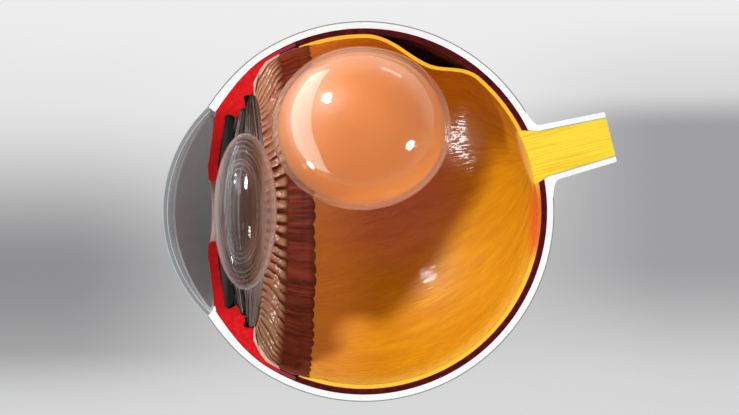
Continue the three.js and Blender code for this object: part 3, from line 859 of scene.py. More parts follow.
RETINA_GLOSS = {"Coat_Weight": 1.0, "Coat_Roughness": 0.12, "Specular_IOR_Level": 0.2}
yolk = Finish("yolk_yellow", tint(222, 146, 12), 0.45, **RETINA_GLOSS)
broad = yolk.grain(yolk.streaks(DISC_DIRECTION, 12, 0.05), 1.0, 4, 0.6)
fine = yolk.grain(yolk.streaks(DISC_DIRECTION, 60, 0.15), 1.0, 3, 0.6)
hair = yolk.grain(yolk.streaks(DISC_DIRECTION, 150, 0.6), 1.0, 2)
bright = yolk.blend(broad, 0.3, 0.7, tint(197, 125, 7), tint(213, 146, 9))
streaked = yolk.mix(yolk.share(fine, 0.42, 0.72, 0.0, 0.4), bright, tint(194, 112, 12))
# Painted shade: a mauve-brown tint deep in the hollow, beside and below the bubble.
painted_hollow_shade = yolk.product(direction_share(yolk, (0.15, 0.97, 0.15), 10, 36), 0.55)
with_hollow_shade = yolk.mix(painted_hollow_shade, streaked, tint(190, 80, 84))
# Painted light: the retina turns paler towards the ora, at its front.
painted_light_near_ora = yolk.share(yolk.x, -17, 8, 0.6, 0.0)
with_front_light = yolk.mix(painted_light_near_ora, with_hollow_shade, tint(246, 166, 80))
# Painted light: paler near the cut, in the lower half of the retina.
painted_light_near_cut = yolk.product(yolk.share(yolk.y, 2, 16, 0.55, 0.0), yolk.share(yolk.z, 0, -25))
with_cut_light = yolk.mix(painted_light_near_cut, with_front_light, tint(240, 196, 80))
rim_glow = direction_share(yolk, DISC_DIRECTION, 9.0, 13)
with_disc = yolk.mix(yolk.product(rim_glow, 0.8), with_cut_light, tint(232, 176, 96))
macula = direction_share(yolk, MACULA_DIRECTION, 2, 15)
yolk.set("Base Color", yolk.mix(yolk.product(macula, 0.8), with_disc, tint(228, 78, 44)))
relief = yolk.sum("ADD", yolk.product(fine, 0.3), yolk.product(hair, 0.08))
yolk.bump(yolk.sum("ADD", relief, yolk.product(broad, 0.5)), 0.35)
wet_lines = yolk.grain(yolk.streaks(DISC_DIRECTION, 75, 0.3), 1.0, 1)
yolk.set("Coat Weight", yolk.share(wet_lines, 0.49, 0.54, 0.0, 1.0))
yolk.bump(fine, 0.11, "Coat Normal")

# %% Finish of the retina's cut, with the macula's tint running into it
yolk_cut = Finish("yolk_cut", tint(250, 188, 52), 0.45, Specular_IOR_Level=0.1)
cut_layers = yolk_cut.grain(yolk_cut.place, 0.35, 4)
top_cut = yolk_cut.mix(cut_layers, tint(255, 200, 58), tint(250, 180, 46))
low_cut = yolk_cut.blend(yolk_cut.z, 10, -25, top_cut, tint(250, 198, 62))
macula_cut = yolk_cut.product(direction_share(yolk_cut, MACULA_DIRECTION, 4, 15), 0.8)
yolk_cut.set("Base Color", yolk_cut.mix(macula_cut, low_cut, tint(216, 74, 44)))

# %% Shape the retina
retina = swept("retina_cup", retina_outline, HALF_TURN, [yolk, yolk_cut])
carve(retina, dowel("stem_hole", [(20, 2.55), (60, 2.55)], yolk, BUBBLE_X, BUBBLE_Z))
carve(retina, nerve_bore(0.02, yolk))
belongs(retina, "liner", "retina_orange", "retina")

# %% [markdown]
# ## The optic nerve
#
# The cut nerve shows its bundles as long fine stripes. The outside of the nerve is lightly fluted, and the
# stripes of the cut come from noise that is stretched along the nerve's own line.

# %% Nerve finish
nerve_yellow = Finish("nerve_yellow", tint(250, 215, 55), 0.5, Specular_IOR_Level=0.15)
along_nerve = nerve_yellow.vector("DOT_PRODUCT", nerve_yellow.place, NERVE_LINE, output="Value")
across_nerve = nerve_yellow.vector("DOT_PRODUCT", nerve_yellow.place, NERVE_ACROSS, output="Value")
slow_along = nerve_yellow.product(along_nerve, 0.03)
bundle_place = nerve_yellow.node("CombineXYZ", {0: slow_along, 1: nerve_yellow.y, 2: across_nerve})
bundles = nerve_yellow.grain(bundle_place, 1.3, 5, 0.6)
bundle_tone = nerve_yellow.blend(bundles, 0.35, 0.55, tint(243, 198, 40), tint(255, 220, 62))
behind_cut = nerve_yellow.sum("GREATER_THAN", nerve_yellow.y, 0.03)
nerve_head = nerve_yellow.share(along_nerve, NERVE_START_X + 1, NERVE_START_X - 1)
head_tone = nerve_yellow.blend(nerve_yellow.y, 0, 8, tint(244, 200, 84), tint(232, 172, 88))
on_head = nerve_yellow.product(behind_cut, nerve_head)
nerve_yellow.set("Base Color", nerve_yellow.mix(on_head, bundle_tone, head_tone))
nerve_yellow.bump(bundles, 0.2)

# %% Shape the nerve
NERVE_FACE_RADIUS = 53.5


def nerve_outline(azimuth):
    flute = 0.06 * math.cos(math.radians(20 * azimuth))
    side = [(s, nerve_radius(s) + flute * ease(s, 0, 3)) for s in spread(-5, NERVE_END - 0.3, 44)]
    end = nerve_radius(NERVE_END)
    return [(-5, 0), *side, (NERVE_END - 0.05, end - 0.25), (NERVE_END, end - 0.6), (NERVE_END, 0)]


nerve_turn = spread(0, 357.75, 160)
nerve = swept("nerve_core", nerve_outline, nerve_turn, [nerve_yellow], nerve_place, around=True)
carve(nerve, globe_tool(NERVE_FACE_RADIUS, nerve_yellow))
cut_flat(nerve, nerve_yellow)
belongs(nerve, "liner", "nerve_yellow", "optic_nerve")

# %% [markdown]
# ## The muscle ring, the iris and the ridges
#
# The ciliary body is a red wedge where it is cut, with a ragged inner side. Its hidden inner faces are dark
# pigment. Each row of its outline is an angle and a depth below the lining. The straight lines between them
# are broken up with a little seeded noise, as torn muscle is.

# %% Wedge outline
TOOTH_ROWS = [(147.3, 1.7), (145.5, 4.4), (144.1, 4.95), (143.8, 7.5), (139.5, 6.7), (138.2, 7.65)]
TOOTH_ROWS += [(136.1, 4.8), (133.4, 6.85)]
UNDER_RIDGES = [(130.6, 3.9), (126.1, 1.95), (123.1, 0.95)]
TAIL_DEPTH = 1.05
RIDGES_END = 118.2


def below(angle, depth):
    return polar(DEPTH_DATUM - depth, angle)


def ragged(points, step, height, seed):
    """Divides each side of an open line, and moves the new points a little off it."""
    rough = []
    for (x0, r0), (x1, r1) in zip(points, points[1:]):
        length = math.hypot(x1 - x0, r1 - r0)
        count = max(2, round(length / step))
        for i in range(count):
            x, r = mixed(x0, x1, i / count), mixed(r0, r1, i / count)
            push = height * noise.noise(Vector((x * 0.9, r * 0.9, seed))) * (0 if i == 0 else 1)
            rough.append((x - push * (r1 - r0) / length, r + push * (x1 - x0) / length))
    return [*rough, points[-1]]


TAIL_ANGLE = LINING_EDGE + 0.3
wedge_outer = arc(lambda a: sclera_inner(a) - 0.06, TAIL_ANGLE, LIMBUS_ANGLE - 1.2, 60)
wedge_inner = ragged([below(*row) for row in TOOTH_ROWS], 0.45, 0.42, 3.7)
wedge_inner += [below(*row) for row in UNDER_RIDGES]
wedge_tail = arc(lambda a: DEPTH_DATUM - TAIL_DEPTH, RIDGES_END + 1.5, TAIL_ANGLE, 8)
print("wedge outline has", len(wedge_outer + wedge_inner + wedge_tail), "points")

# %% Red finish of the cut, and the dark pigment of the faces behind it
red = Finish("muscle_red", tint(214, 24, 28), 0.5, Specular_IOR_Level=0.1)
fibres = red.grain(red.place, 0.6, 6, 0.65)
lit_red = red.blend(fibres, 0.35, 0.62, tint(202, 12, 18), tint(228, 26, 32))
near_iris = red.share(red.sum("ABSOLUTE", red.z), 28.5, 34, 1.0, 0.0)
toward_iris = red.mix(near_iris, lit_red, tint(186, 12, 16))
tail_colour = red.blend(red.x, -31, -24, toward_iris, tint(150, 42, 58))
radius_now = red.vector("LENGTH", red.place, output="Value")
line_radius = red.share(red.x, -46.5, -31, 55.1, 56.1)
outer_line = red.share(red.sum("SUBTRACT", radius_now, line_radius), 0.0, 0.25, 0.0, 0.8)
red.set("Base Color", red.mix(outer_line, tail_colour, tint(80, 4, 10)))
red.bump(fibres, 0.12)

pigment = Finish("dark_pigment", tint(80, 70, 66), 0.5, Coat_Weight=0.15, Coat_Roughness=0.3)
folds = pigment.grain(pigment.streaks((1, 0, 0), 16, 0.05), 1.0, 4)
pigment.set("Base Color", pigment.blend(folds, 0.3, 0.7, tint(48, 40, 38), tint(128, 108, 102)))
pigment.bump(folds, 0.5)

# %% Shape the wedge
wedge = swept("muscle_wedge", lambda a: wedge_outer + wedge_inner + wedge_tail, HALF_TURN, [pigment, red])
belongs(wedge, "liner", "red_muscle", "ciliary_body")

# %% [markdown]
# The iris is a shallow cone with a rounded edge at the pupil. The photograph shows only its cut, deep red.
# Seen from the front it gets the furrows and the ring round the pupil that an eye has.

# %% Iris sizes
PUPIL_RADIUS = 9.2
IRIS_WALL = 2.9
IRIS_FRONT_X = -48.08
IRIS_RISE = 1.7
IRIS_ROOT = 29.3
FURROW_DEPTH = 0.32
PUPIL_RING_RADIUS, PUPIL_RING_WIDTH, PUPIL_RING_HEIGHT = 14.2, 1.1, 0.3
print("pupil:", 2 * PUPIL_RADIUS, "mm across")


def iris_front(radius):
    return IRIS_FRONT_X + IRIS_RISE * ease(radius, PUPIL_RADIUS + IRIS_WALL, IRIS_ROOT)


def iris_back(radius):
    return iris_front(radius) + IRIS_WALL + 0.5 * ease(radius, PUPIL_RADIUS, IRIS_ROOT)


def iris_outline(azimuth):
    half = IRIS_WALL / 2
    turn = math.radians(azimuth)
    margin = []
    for angle in spread(-90, 90, 13):
        bend = math.radians(angle)
        x = IRIS_FRONT_X + half * (1 + math.sin(bend))
        margin.append((x, PUPIL_RADIUS + half * (1 - math.cos(bend))))
    front = []
    for radius in spread(IRIS_ROOT, PUPIL_RADIUS + half + 0.6, 36):
        inward = ease(radius, PUPIL_RADIUS + half, PUPIL_RADIUS + half + 3)
        outward = 1 - ease(radius, IRIS_ROOT - 3, IRIS_ROOT)
        place = Vector((9 * math.sin(turn), 9 * math.cos(turn), radius * 0.09))
        furrow = FURROW_DEPTH * noise.noise(place)
        ring = PUPIL_RING_HEIGHT * math.exp(-(((radius - PUPIL_RING_RADIUS) / PUPIL_RING_WIDTH) ** 2))
        front.append((iris_front(radius) + (abs(furrow) - ring) * inward * outward, radius))
    back = [(iris_back(radius), radius) for radius in spread(PUPIL_RADIUS + half + 0.6, IRIS_ROOT, 16)]
    return front + margin + back


# %% Iris finishes
iris_cut = Finish("iris_cut", tint(160, 8, 10), 0.5, Specular_IOR_Level=0.1)
iris_grain = iris_cut.grain(iris_cut.place, 0.5, 5, 0.65)
iris_dark = iris_cut.blend(iris_grain, 0.35, 0.65, tint(140, 4, 8), tint(166, 8, 12))
from_pupil = iris_cut.sum("ABSOLUTE", iris_cut.z)
iris_cut.set("Base Color", iris_cut.blend(from_pupil, 19, 28.5, iris_dark, tint(186, 12, 16)))

iris_red = Finish("iris_red", tint(140, 40, 26), 0.45, Coat_Weight=0.3, Coat_Roughness=0.25)
spokes = iris_red.grain(iris_red.streaks((1, 0, 0), 14, 0.3), 1.0, 5, 0.65)
stroma = iris_red.blend(spokes, 0.35, 0.65, tint(96, 22, 14), tint(176, 66, 34))
out_now = iris_red.flat_length(iris_red.y, iris_red.z)
pupil_ring = iris_red.blend(out_now, 12.5, 15.0, tint(150, 108, 98), stroma)
root_shade = iris_red.share(out_now, 25.5, 28.4, 0.0, 0.7)
iris_red.set("Base Color", iris_red.mix(root_shade, pupil_ring, tint(60, 14, 12)))
iris_red.bump(spokes, 0.5)

# %% Shape the iris
iris = swept("iris_cone", iris_outline, spread(0, 180, 181), [iris_red, iris_cut])
belongs(iris, "liner", "iris_red", "iris")

# %% [markdown]
# The dark layer on the back of the iris is thin by the pupil, swells towards the root, and ends rounded in
# the first notch of the wedge.

# %% Dark back of the iris
iris_black = Finish("iris_back", tint(46, 46, 48), 0.6, Specular_IOR_Level=0.15)
creases = iris_black.grain(iris_black.streaks((1, 0, 0), 24, 0.1), 1.0, 3)
deepest = tint(24, 22, 22)
across_layer = iris_black.blend(iris_black.x, -43.8, -41.4, tint(62, 58, 57), deepest)
creased = iris_black.mix(iris_black.share(creases, 0.4, 0.7, 0.0, 0.5), across_layer, deepest)
iris_black.set("Base Color", creased)
iris_black.bump(creases, 0.3)
BACK_WALL = 3.0
BACK_ROUNDING = (25.4, 30.0)


def back_wall(radius):
    past = max(0, radius - BACK_ROUNDING[0]) / (BACK_ROUNDING[1] - BACK_ROUNDING[0])
    return mixed(0.25, BACK_WALL, ease(radius, 11.5, 24)) * math.sqrt(max(0.01, 1 - past * past))


def iris_back_outline(azimuth):
    turn = math.radians(azimuth)
    crease = 0.1 * noise.noise(Vector((14 * math.sin(turn), 14 * math.cos(turn), 5)))
    radii = spread(PUPIL_RADIUS + 1.6, BACK_ROUNDING[1] - 0.05, 30)
    near = [(iris_back(min(r, IRIS_ROOT)) + 0.04, r) for r in radii]
    far = [(x + back_wall(r) + crease, r) for x, r in near]
    return near + far[::-1]


JUST_BEHIND_CUT = spread(0.25, 179.75, 121)
iris_shade = swept("iris_dark_back", iris_back_outline, JUST_BEHIND_CUT, [iris_black])
belongs(iris_shade, "liner", "dark_pigment", "iris_back_layer")

# %% [markdown]
# The ciliary processes are a ring of about seventy wet ridges, half of them here. Each ridge gets a height,
# a lean and a lumpy crest of its own from a seeded random, because even ridges would look machined. The
# crest height is also stored on the vertices, so that the paint can be pale on the crests and dark between:
# partly the ridges' own colour, partly painted light on the crests and painted shade in the valleys.

# %% Ridge rows: angle and depth, under the ridges, in the valleys and on the crests
RIDGE_COUNT = 36
RIDGE_FRONT = 133.3
RIDGE_BASE = [(133.4, 6.85), (130.6, 3.9), (126.1, 1.95), (123.1, 1.0), (RIDGES_END, 1.1)]
RIDGE_VALLEY = [(133.2, 7.3), (130.1, 4.7), (125.6, 2.9), (122.6, 1.95), (RIDGES_END, 1.62)]
RIDGE_CREST = [(RIDGE_FRONT, 8.3), (129.3, 8.3), (125.2, 6.6), (121.8, 4.0), (RIDGES_END, 1.95)]


def along_rows(rows, t):
    """A point on the smooth line through the rows, t from 0 to 1."""
    place = t * (len(rows) - 1)
    i = min(int(place), len(rows) - 2)
    u = place - i
    near = (max(0, min(len(rows) - 1, j)) for j in (i - 1, i, i + 1, i + 2))
    before, first, last, after = (Vector(rows[j]) for j in near)
    smooth = 2 * first + (last - before) * u + (2 * before - 5 * first + 4 * last - after) * u * u
    smooth += (3 * first - before - 3 * last + after) * u**3
    return smooth / 2


chance = random.Random(36)
ridge_heights = [chance.uniform(0.72, 1.0) for _ in range(RIDGE_COUNT + 1)]
ridge_leans = [chance.uniform(-0.22, 0.22) for _ in range(RIDGE_COUNT + 1)]
print("lowest and highest ridge:", round(min(ridge_heights), 2), round(max(ridge_heights), 2))


def ridge_shape(azimuth, t):
    """How near the point is to its ridge's line, 0 to 1, and how high it stands, 0 to about 1."""
    place = azimuth * RIDGE_COUNT / 180
    i = int(place)
    drift = 0.28 * noise.noise(Vector((azimuth * 0.11, t * 2.2, 7.5)))
    across = place - i - 0.5 + ridge_leans[i] * (t - 0.4) + drift
    sharp = max(0.0, math.cos(math.pi * max(-0.5, min(0.5, across))))
    lump = 1 + 0.22 * noise.noise(Vector((azimuth * 0.9, t * 11, 1.2))) * math.sin(math.pi * t)
    from_cut = max(0, min(place, RIDGE_COUNT - place))
    floor_height = 0.5 * ease(from_cut, 0, 6) * (1 - ease(from_cut, 4, 9))
    own_height = mixed(ridge_heights[i], 1, 0.3) * lump
    return sharp, floor_height + sharp * own_height * (ease(from_cut, -2.5, 7) - floor_height)


def ridge_outline(azimuth):
    surface = []
    for t in spread(1, 0, 33):
        valley, crest = along_rows(RIDGE_VALLEY, t), along_rows(RIDGE_CREST, t)
        surface.append(below(*valley.lerp(crest, ridge_shape(azimuth, t)[1])))
    return [below(*row) for row in RIDGE_BASE] + surface


# %% Ridge finish
ridge_tan = Finish("ridge_tan", tint(196, 160, 128), 0.34, Coat_Weight=0.8, Coat_Roughness=0.1)
crest_height, way_back = ridge_tan.mark("crest"), ridge_tan.mark("way_back")
blotches = ridge_tan.grain(ridge_tan.place, 0.45, 4)
# Pale on the crests, brown in the valleys: partly own colour, partly painted light and painted shade.
pale = ridge_tan.blend(blotches, 0.35, 0.65, tint(248, 216, 178), tint(250, 208, 190))
brown = ridge_tan.blend(blotches, 0.4, 0.6, tint(98, 50, 34), tint(122, 64, 48))
tone_light_and_shade_by_height = ridge_tan.blend(crest_height, 0.25, 0.8, brown, pale)
# Painted glints: small white specks on the crests that glow a little.
glint_spots = ridge_tan.share(ridge_tan.grain(ridge_tan.place, 0.9, 2), 0.54, 0.6)
past_front, before_band = ridge_tan.share(way_back, 0.3, 0.45), ridge_tan.share(way_back, 0.85, 0.65)
on_crest = ridge_tan.share(crest_height, 0.6, 0.9)
painted_glints = ridge_tan.product(glint_spots, past_front, before_band, on_crest)
ridge_tan.set("Emission Color", tint(255, 246, 240))
ridge_tan.set("Emission Strength", ridge_tan.product(painted_glints, 0.55))
# Painted shade: the ridges turn darker towards the bottom.
with_low_shade = ridge_tan.mix(ridge_tan.share(ridge_tan.z, -10, -42, 0.0, 0.4), tone_light_and_shade_by_height, tint(104, 64, 44))
toward_band = ridge_tan.blend(way_back, 0.78, 1.0, with_low_shade, brown)
front_edge = ridge_tan.share(way_back, 0.0, 0.1, 0.8, 0.0)
cut_edge = ridge_tan.share(ridge_tan.y, 0.0, 0.7, 0.7, 0.0)
at_front = ridge_tan.sum("MAXIMUM", front_edge, cut_edge)
ridge_tan.set("Base Color", ridge_tan.mix(at_front, toward_band, tint(255, 214, 192)))
ridge_tan.bump(ridge_tan.grain(ridge_tan.place, 1.5, 4, 0.6), 0.5)

# %% Shape the ridges, and store the crest height on them
RIDGE_AZIMUTHS = spread(0, 180, RIDGE_COUNT * 12 + 1)
ridges = swept("ridge_ring", ridge_outline, RIDGE_AZIMUTHS, [ridge_tan])
crest_layer = ridges.data.attributes.new("crest", "FLOAT", "POINT")
way_layer = ridges.data.attributes.new("way_back", "FLOAT", "POINT")
for vertex in ridges.data.vertices:
    x, y, z = (vertex.co - CENTRE) / MM
    angle = math.degrees(math.atan2(math.hypot(y, z), x))
    t = min(1, max(0, (RIDGE_FRONT - angle) / (RIDGE_FRONT - RIDGES_END)))
    azimuth = min(180, max(0, math.degrees(math.atan2(y, z))))
    crest_layer.data[vertex.index].value = ridge_shape(azimuth, t)[0]
    way_layer.data[vertex.index].value = t
belongs(ridges, "liner", "ridge_tan", "ciliary_processes")

# %% [markdown]
# Behind the ridges lies a dark red-brown band, the pars plana. The ridges run out over it as thin tails,
# and its rear edge, the ora serrata, is scalloped. It is a thin skin that laps over the retina's thin rim.

# %% Band outline
BAND_FRONT = RIDGES_END + 0.35
BAND_FLOOR = DEPTH_DATUM - 1.32
BAND_WALL = 0.42
ORA_ANGLE = 108.3
TOOTH_SWING = 0.75
print("the band runs from", BAND_FRONT, "to about", ORA_ANGLE, "degrees")


def ora_edge(azimuth):
    tooth = abs(math.sin(math.radians(azimuth * RIDGE_COUNT))) ** 0.7
    return ORA_ANGLE + TOOTH_SWING * (0.6 - tooth + 0.9 * noise.noise(Vector((azimuth * 0.13, 2.5, 0))))


def band_outline(azimuth):
    edge = ora_edge(azimuth)
    lower, upper = [], []
    for share in spread(0, 1, 28):
        angle = mixed(BAND_FRONT, edge, share)
        on_retina = retina_flat(min(angle, RETINA_EDGE)) - 0.04
        floor_radius = mixed(on_retina, BAND_FLOOR, ease(angle, RETINA_EDGE, RETINA_EDGE + 2))
        tail = max(0, -math.cos(math.radians(azimuth * 2 * RIDGE_COUNT))) * (1 - ease(share, 0.0, 0.85))
        ripple = 0.1 * noise.noise(Vector((azimuth * 1.3, share * 1.5, 4)))
        wall = BAND_WALL * (1 - 0.75 * ease(share, 0.9, 1)) + 0.45 * tail + ripple
        lower.append(polar(floor_radius, angle))
        upper.append(polar(floor_radius - wall, angle))
    return lower + upper[::-1]


# %% Band finish and shape
band_brown = Finish("band_brown", tint(104, 44, 38), 0.38, Coat_Weight=0.3, Coat_Roughness=0.2)
tail_lines = band_brown.grain(band_brown.streaks((1, 0, 0), 26, 0.04), 1.0, 4, 0.65)
band_tone = band_brown.blend(tail_lines, 0.35, 0.65, tint(106, 42, 34), tint(176, 88, 74))
rear_dark = band_brown.share(band_brown.x, -20, -16.6, 0.0, 0.65)
low_dark = band_brown.share(band_brown.z, -20, -46, 0.0, 0.5)
edge_dark = band_brown.sum("MAXIMUM", rear_dark, low_dark)
band_brown.set("Base Color", band_brown.mix(edge_dark, band_tone, tint(52, 16, 12)))
band_brown.bump(tail_lines, 0.45)
band = swept("dark_band", band_outline, RIDGE_AZIMUTHS, [band_brown])
belongs(band, "liner", "band_brown", "pars_plana")

# %% [markdown]
# ## The fibres that hold the lens
#
# Fine strands run from the two notches of the wedge to the skin of the lens, with a thin grey film in each
# ring. Each strand is a real tapered thread. The film lets the dark wall behind show through.

# %% Fibre finishes
strand_grey = Finish("strand_grey", tint(140, 126, 124), 0.3, Coat_Weight=0.4, Coat_Roughness=0.15)
strand_tone = strand_grey.grain(strand_grey.streaks((1, 0, 0), 40, 0.1), 1.0, 2)
strand_grey.set("Base Color", strand_grey.mix(strand_tone, tint(96, 82, 80), tint(166, 150, 148)))
film_grey = Finish("film_grey", tint(92, 78, 76), 0.35)
film_lines = film_grey.grain(film_grey.streaks((1, 0, 0), 34, 0.12), 1.0, 4, 0.6)
film_tone = film_grey.blend(film_lines, 0.4, 0.7, tint(70, 58, 56), tint(140, 124, 122))
film_grey.set("Base Color", film_tone)
film_grey.set("Alpha", film_grey.share(film_lines, 0.35, 0.7, 0.08, 0.4))

# %% One thread
LENS_X = -36.54
LENS_RADIUS = 24.2
LENS_HALF = 9.6
THREAD_SHAPE = ((0.0, 1.5), (0.25, 1.0), (0.8, 0.8), (1.0, 1.3))
THREAD_SIDES = 6
FILM_HALF = 0.06


def lens_out(x):
    return LENS_RADIUS * math.sqrt(max(0, 1 - ((x - LENS_X) / LENS_HALF) ** 2))


def add_thread(mesh, start, end, thick):
    """A thin tapered thread, in the second finish."""
    axis = (end - start).normalized()
    side = axis.orthogonal().normalized()
    up = axis.cross(side)
    turns = [2 * math.pi * k / THREAD_SIDES for k in range(THREAD_SIDES)]
    spokes = [side * math.cos(t) + up * math.sin(t) for t in turns]
    rings = []
    for share, scale in THREAD_SHAPE:
        hub = start.lerp(end, share)
        rings.append([mesh.verts.new(hub + thick * scale * MM * spoke) for spoke in spokes])
    for near, far in zip(rings, rings[1:]):
        for k in range(THREAD_SIDES):
            j = (k + 1) % THREAD_SIDES
            mesh.faces.new((near[k], near[j], far[j], far[k])).material_index = 1
    for ring in (rings[0], rings[-1]):
        mesh.faces.new(ring).material_index = 1


# %% A ring of threads round a film


def fibre_ring(name, seat, seat_spread, rim_x, rim_spread, node_name, seed, count=240):
    dice = random.Random(seed)
    mesh = bmesh.new()
    for _ in range(count):
        azimuth = 90 - 89.3 * math.copysign(abs(dice.uniform(-1, 1)) ** 0.6, dice.uniform(-1, 1))
        shift = dice.uniform(-1.0, 1.0)
        rim = rim_x + rim_spread * shift
        start = axis_place(seat[0] + seat_spread * shift, seat[1], azimuth)
        far_azimuth = min(179.4, max(0.6, azimuth + dice.uniform(-2.5, 2.5)))
        add_thread(mesh, start, axis_place(rim, lens_out(rim) + 0.3, far_azimuth), dice.uniform(0.05, 0.13))
    seat_x, seat_out = seat
    edge = lens_out(rim_x) + 0.35
    sheet = [(seat_x - FILM_HALF, seat_out), (rim_x - FILM_HALF, edge)]
    sheet += [(rim_x + FILM_HALF, edge), (seat_x + FILM_HALF, seat_out)]
    film = swept("film", lambda azimuth: sheet, JUST_BEHIND_CUT, [film_grey])
    mesh.from_mesh(film.data)
    bpy.data.objects.remove(film)
    return belongs(finished(name, mesh, [film_grey, strand_grey]), "liner", "fibre_grey", node_name)


front_fibres = fibre_ring("fibres_front", (-38.4, 31.2), 1.1, -40.2, 2.0, "zonule_fibres_front", 11)
rear_fibres = fibre_ring("fibres_rear", (-35.2, 35.6), 1.5, -34.2, 3.0, "zonule_fibres_rear", 12)

# %% [markdown]
# ## The lens
#
# The lens is a stack of clear balls, one in the other, like the skins of an onion. Many more skins show in
# the real one than we can model, so the finish paints them: a line at each even share of the lens's outline,
# broken up by noise. The Layer Weight node turns each ball milky at its edge, where we look along its skin.
# A little glow there stands for the light that a clear edge gathers.

# %% Lines of the lens's skins


def in_layers(finish, spacing, between, on_line, low, high, edge_power, rim, film=0.0, glow=0.0):
    """The opacity is low between lines and high on them; film is that of the milky rear, glow its light."""
    across = finish.sum("DIVIDE", finish.sum("SUBTRACT", finish.x, LENS_X), LENS_HALF)
    up = finish.sum("DIVIDE", finish.z, LENS_RADIUS)
    sway = finish.product(finish.grain(finish.place, 0.08, 2), 0.05)
    outline_share = finish.sum("ADD", finish.flat_length(across, up), sway)
    to_line = finish.sum("PINGPONG", outline_share, spacing)
    even_lines = finish.share(to_line, 0.1 * spacing, 0.55 * spacing, 1.0, 0.0)
    strengths = finish.grain(finish.node("CombineXYZ", {0: outline_share}), 9.0, 1)
    broken_up = finish.share(strengths, 0.3, 0.65, 0.25, 1.0)
    lines = finish.product(even_lines, broken_up, finish.share(outline_share, 0.3, 0.65))
    edge = finish.edge(edge_power)
    film_now = finish.share(across, 0.5, 0.7, 0.0, film)
    pale_share = finish.sum("MAXIMUM", finish.sum("MAXIMUM", lines, film_now), finish.share(edge, 0.25, 0.6))
    finish.set("Base Color", finish.mix(pale_share, between, on_line))
    line_milk, edge_milk = finish.share(lines, 0.0, 1.0, low, high), finish.product(edge, rim)
    finish.set("Alpha", finish.sum("MAXIMUM", finish.sum("MAXIMUM", line_milk, edge_milk), film_now))
    finish.set("Emission Color", on_line)
    lit_share = finish.sum("MAXIMUM", finish.share(edge, 0.3, 0.9), film_now)
    finish.set("Emission Strength", finish.product(lit_share, glow))


# %% Lens finishes
lens_skin = Finish("lens_skin", tint(206, 204, 202), 0.08, Coat_Weight=1.0, Coat_Roughness=0.05)
skin_colours = tint(100, 82, 76), tint(216, 200, 195)
in_layers(lens_skin, 0.03, *skin_colours, 0.16, 0.32, 2.5, 1.0, film=0.43, glow=0.4)
lens_layer = Finish("lens_layer", tint(150, 136, 132), 0.3)
in_layers(lens_layer, 0.035, tint(82, 64, 58), tint(166, 146, 140), 0.2, 0.26, 6.0, 0.6)
lens_core = Finish("lens_core", tint(110, 92, 88), 0.15, Coat_Weight=0.5, Coat_Roughness=0.12)
in_layers(lens_core, 0.035, tint(98, 80, 78), tint(170, 152, 150), 0.45, 0.5, 6.0, 0.7)

# %% [markdown]
# A ball could be one of Blender's UV spheres, but the points of those come in another order on each run. We
# sweep half a circle round instead, as for the other pieces, and get the same mesh every time.

# %% Balls that are flattened along the axis or from above


def ball(name, along, back, up, x, z, finish, columns=96, rows=64):
    """A closed ball with half sizes along the axis, back from the cut face, and up."""

    def place(level, out, azimuth):
        turn = math.radians(azimuth)
        return local_place(x + along * level, back * out * math.cos(turn), z + up * out * math.sin(turn))

    half_circle = [polar(1, angle) for angle in spread(0, 180, rows + 1)]
    turns = spread(0, 360 - 360 / columns, columns)
    return swept(name, lambda azimuth: half_circle, turns, [finish], place, around=True)


def one_of(name, pieces, finish):
    """Puts several balls in one object."""
    mesh = bmesh.new()
    for piece in pieces:
        mesh.from_mesh(piece.data)
        bpy.data.objects.remove(piece)
    return finished(name, mesh, [finish])


def lens_ball(name, radius, half, finish):
    return ball(name, half, radius, radius, LENS_X, 0, finish)


# %% Shape the lens
LAYER_SIZES = [(22.6, 8.1), (21.0, 6.4)]
CORE_RADIUS, CORE_HALF = 17.5, 3.6
skin = lens_ball("lens_skin", LENS_RADIUS, LENS_HALF, lens_skin)
belongs(skin, "lens", "lens_clear", "lens_capsule_near", "lens_capsule_far")
layers = [lens_ball("layer", *size, lens_layer) for size in LAYER_SIZES]
shells = one_of("lens_layers", layers, lens_layer)
belongs(shells, "lens", "lens_clear", "lens_cortex_near", "lens_cortex_far")
core = lens_ball("lens_core", CORE_RADIUS, CORE_HALF, lens_core)
belongs(core, "lens", "lens_clear", "lens_nucleus")

# %% [markdown]
# The lamp for the lens's glint would also show in the bubble. Light linking gives a lamp a collection of the
# only pieces it shines on, so this one gets the lens's outer skin alone.

# %% Keep the glint on the lens
lit_by_lens_lamp = bpy.data.collections.new("lit_by_lens_lamp")
lit_by_lens_lamp.objects.link(skin)
lens_lamp.light_linking.receiver_collection = lit_by_lens_lamp

# %% [markdown]
# ## The cornea
#
# The clear window in front is a thin bowl. Where it is cut, it shows as a grey band with a bright line on
# each side. Behind the band we look into the bowl, which is pale near its edge and dark towards the iris.

# %% Cornea sizes
CORNEA_APEX = 62.1
CORNEA_WALL = 1.5
LIMBUS_X, LIMBUS_OUT = polar(sclera_outer(LIMBUS_ANGLE), LIMBUS_ANGLE)
CORNEA_SAG = CORNEA_APEX + LIMBUS_X
CORNEA_RADIUS = (CORNEA_SAG**2 + LIMBUS_OUT**2) / (2 * CORNEA_SAG)
CORNEA_HUB = CORNEA_RADIUS - CORNEA_APEX
CORNEA_RIM = math.degrees(math.asin(LIMBUS_OUT / CORNEA_RADIUS)) - 0.05
print("cornea radius:", round(CORNEA_RADIUS, 2), "rim at", round(CORNEA_RIM, 1), "degrees")

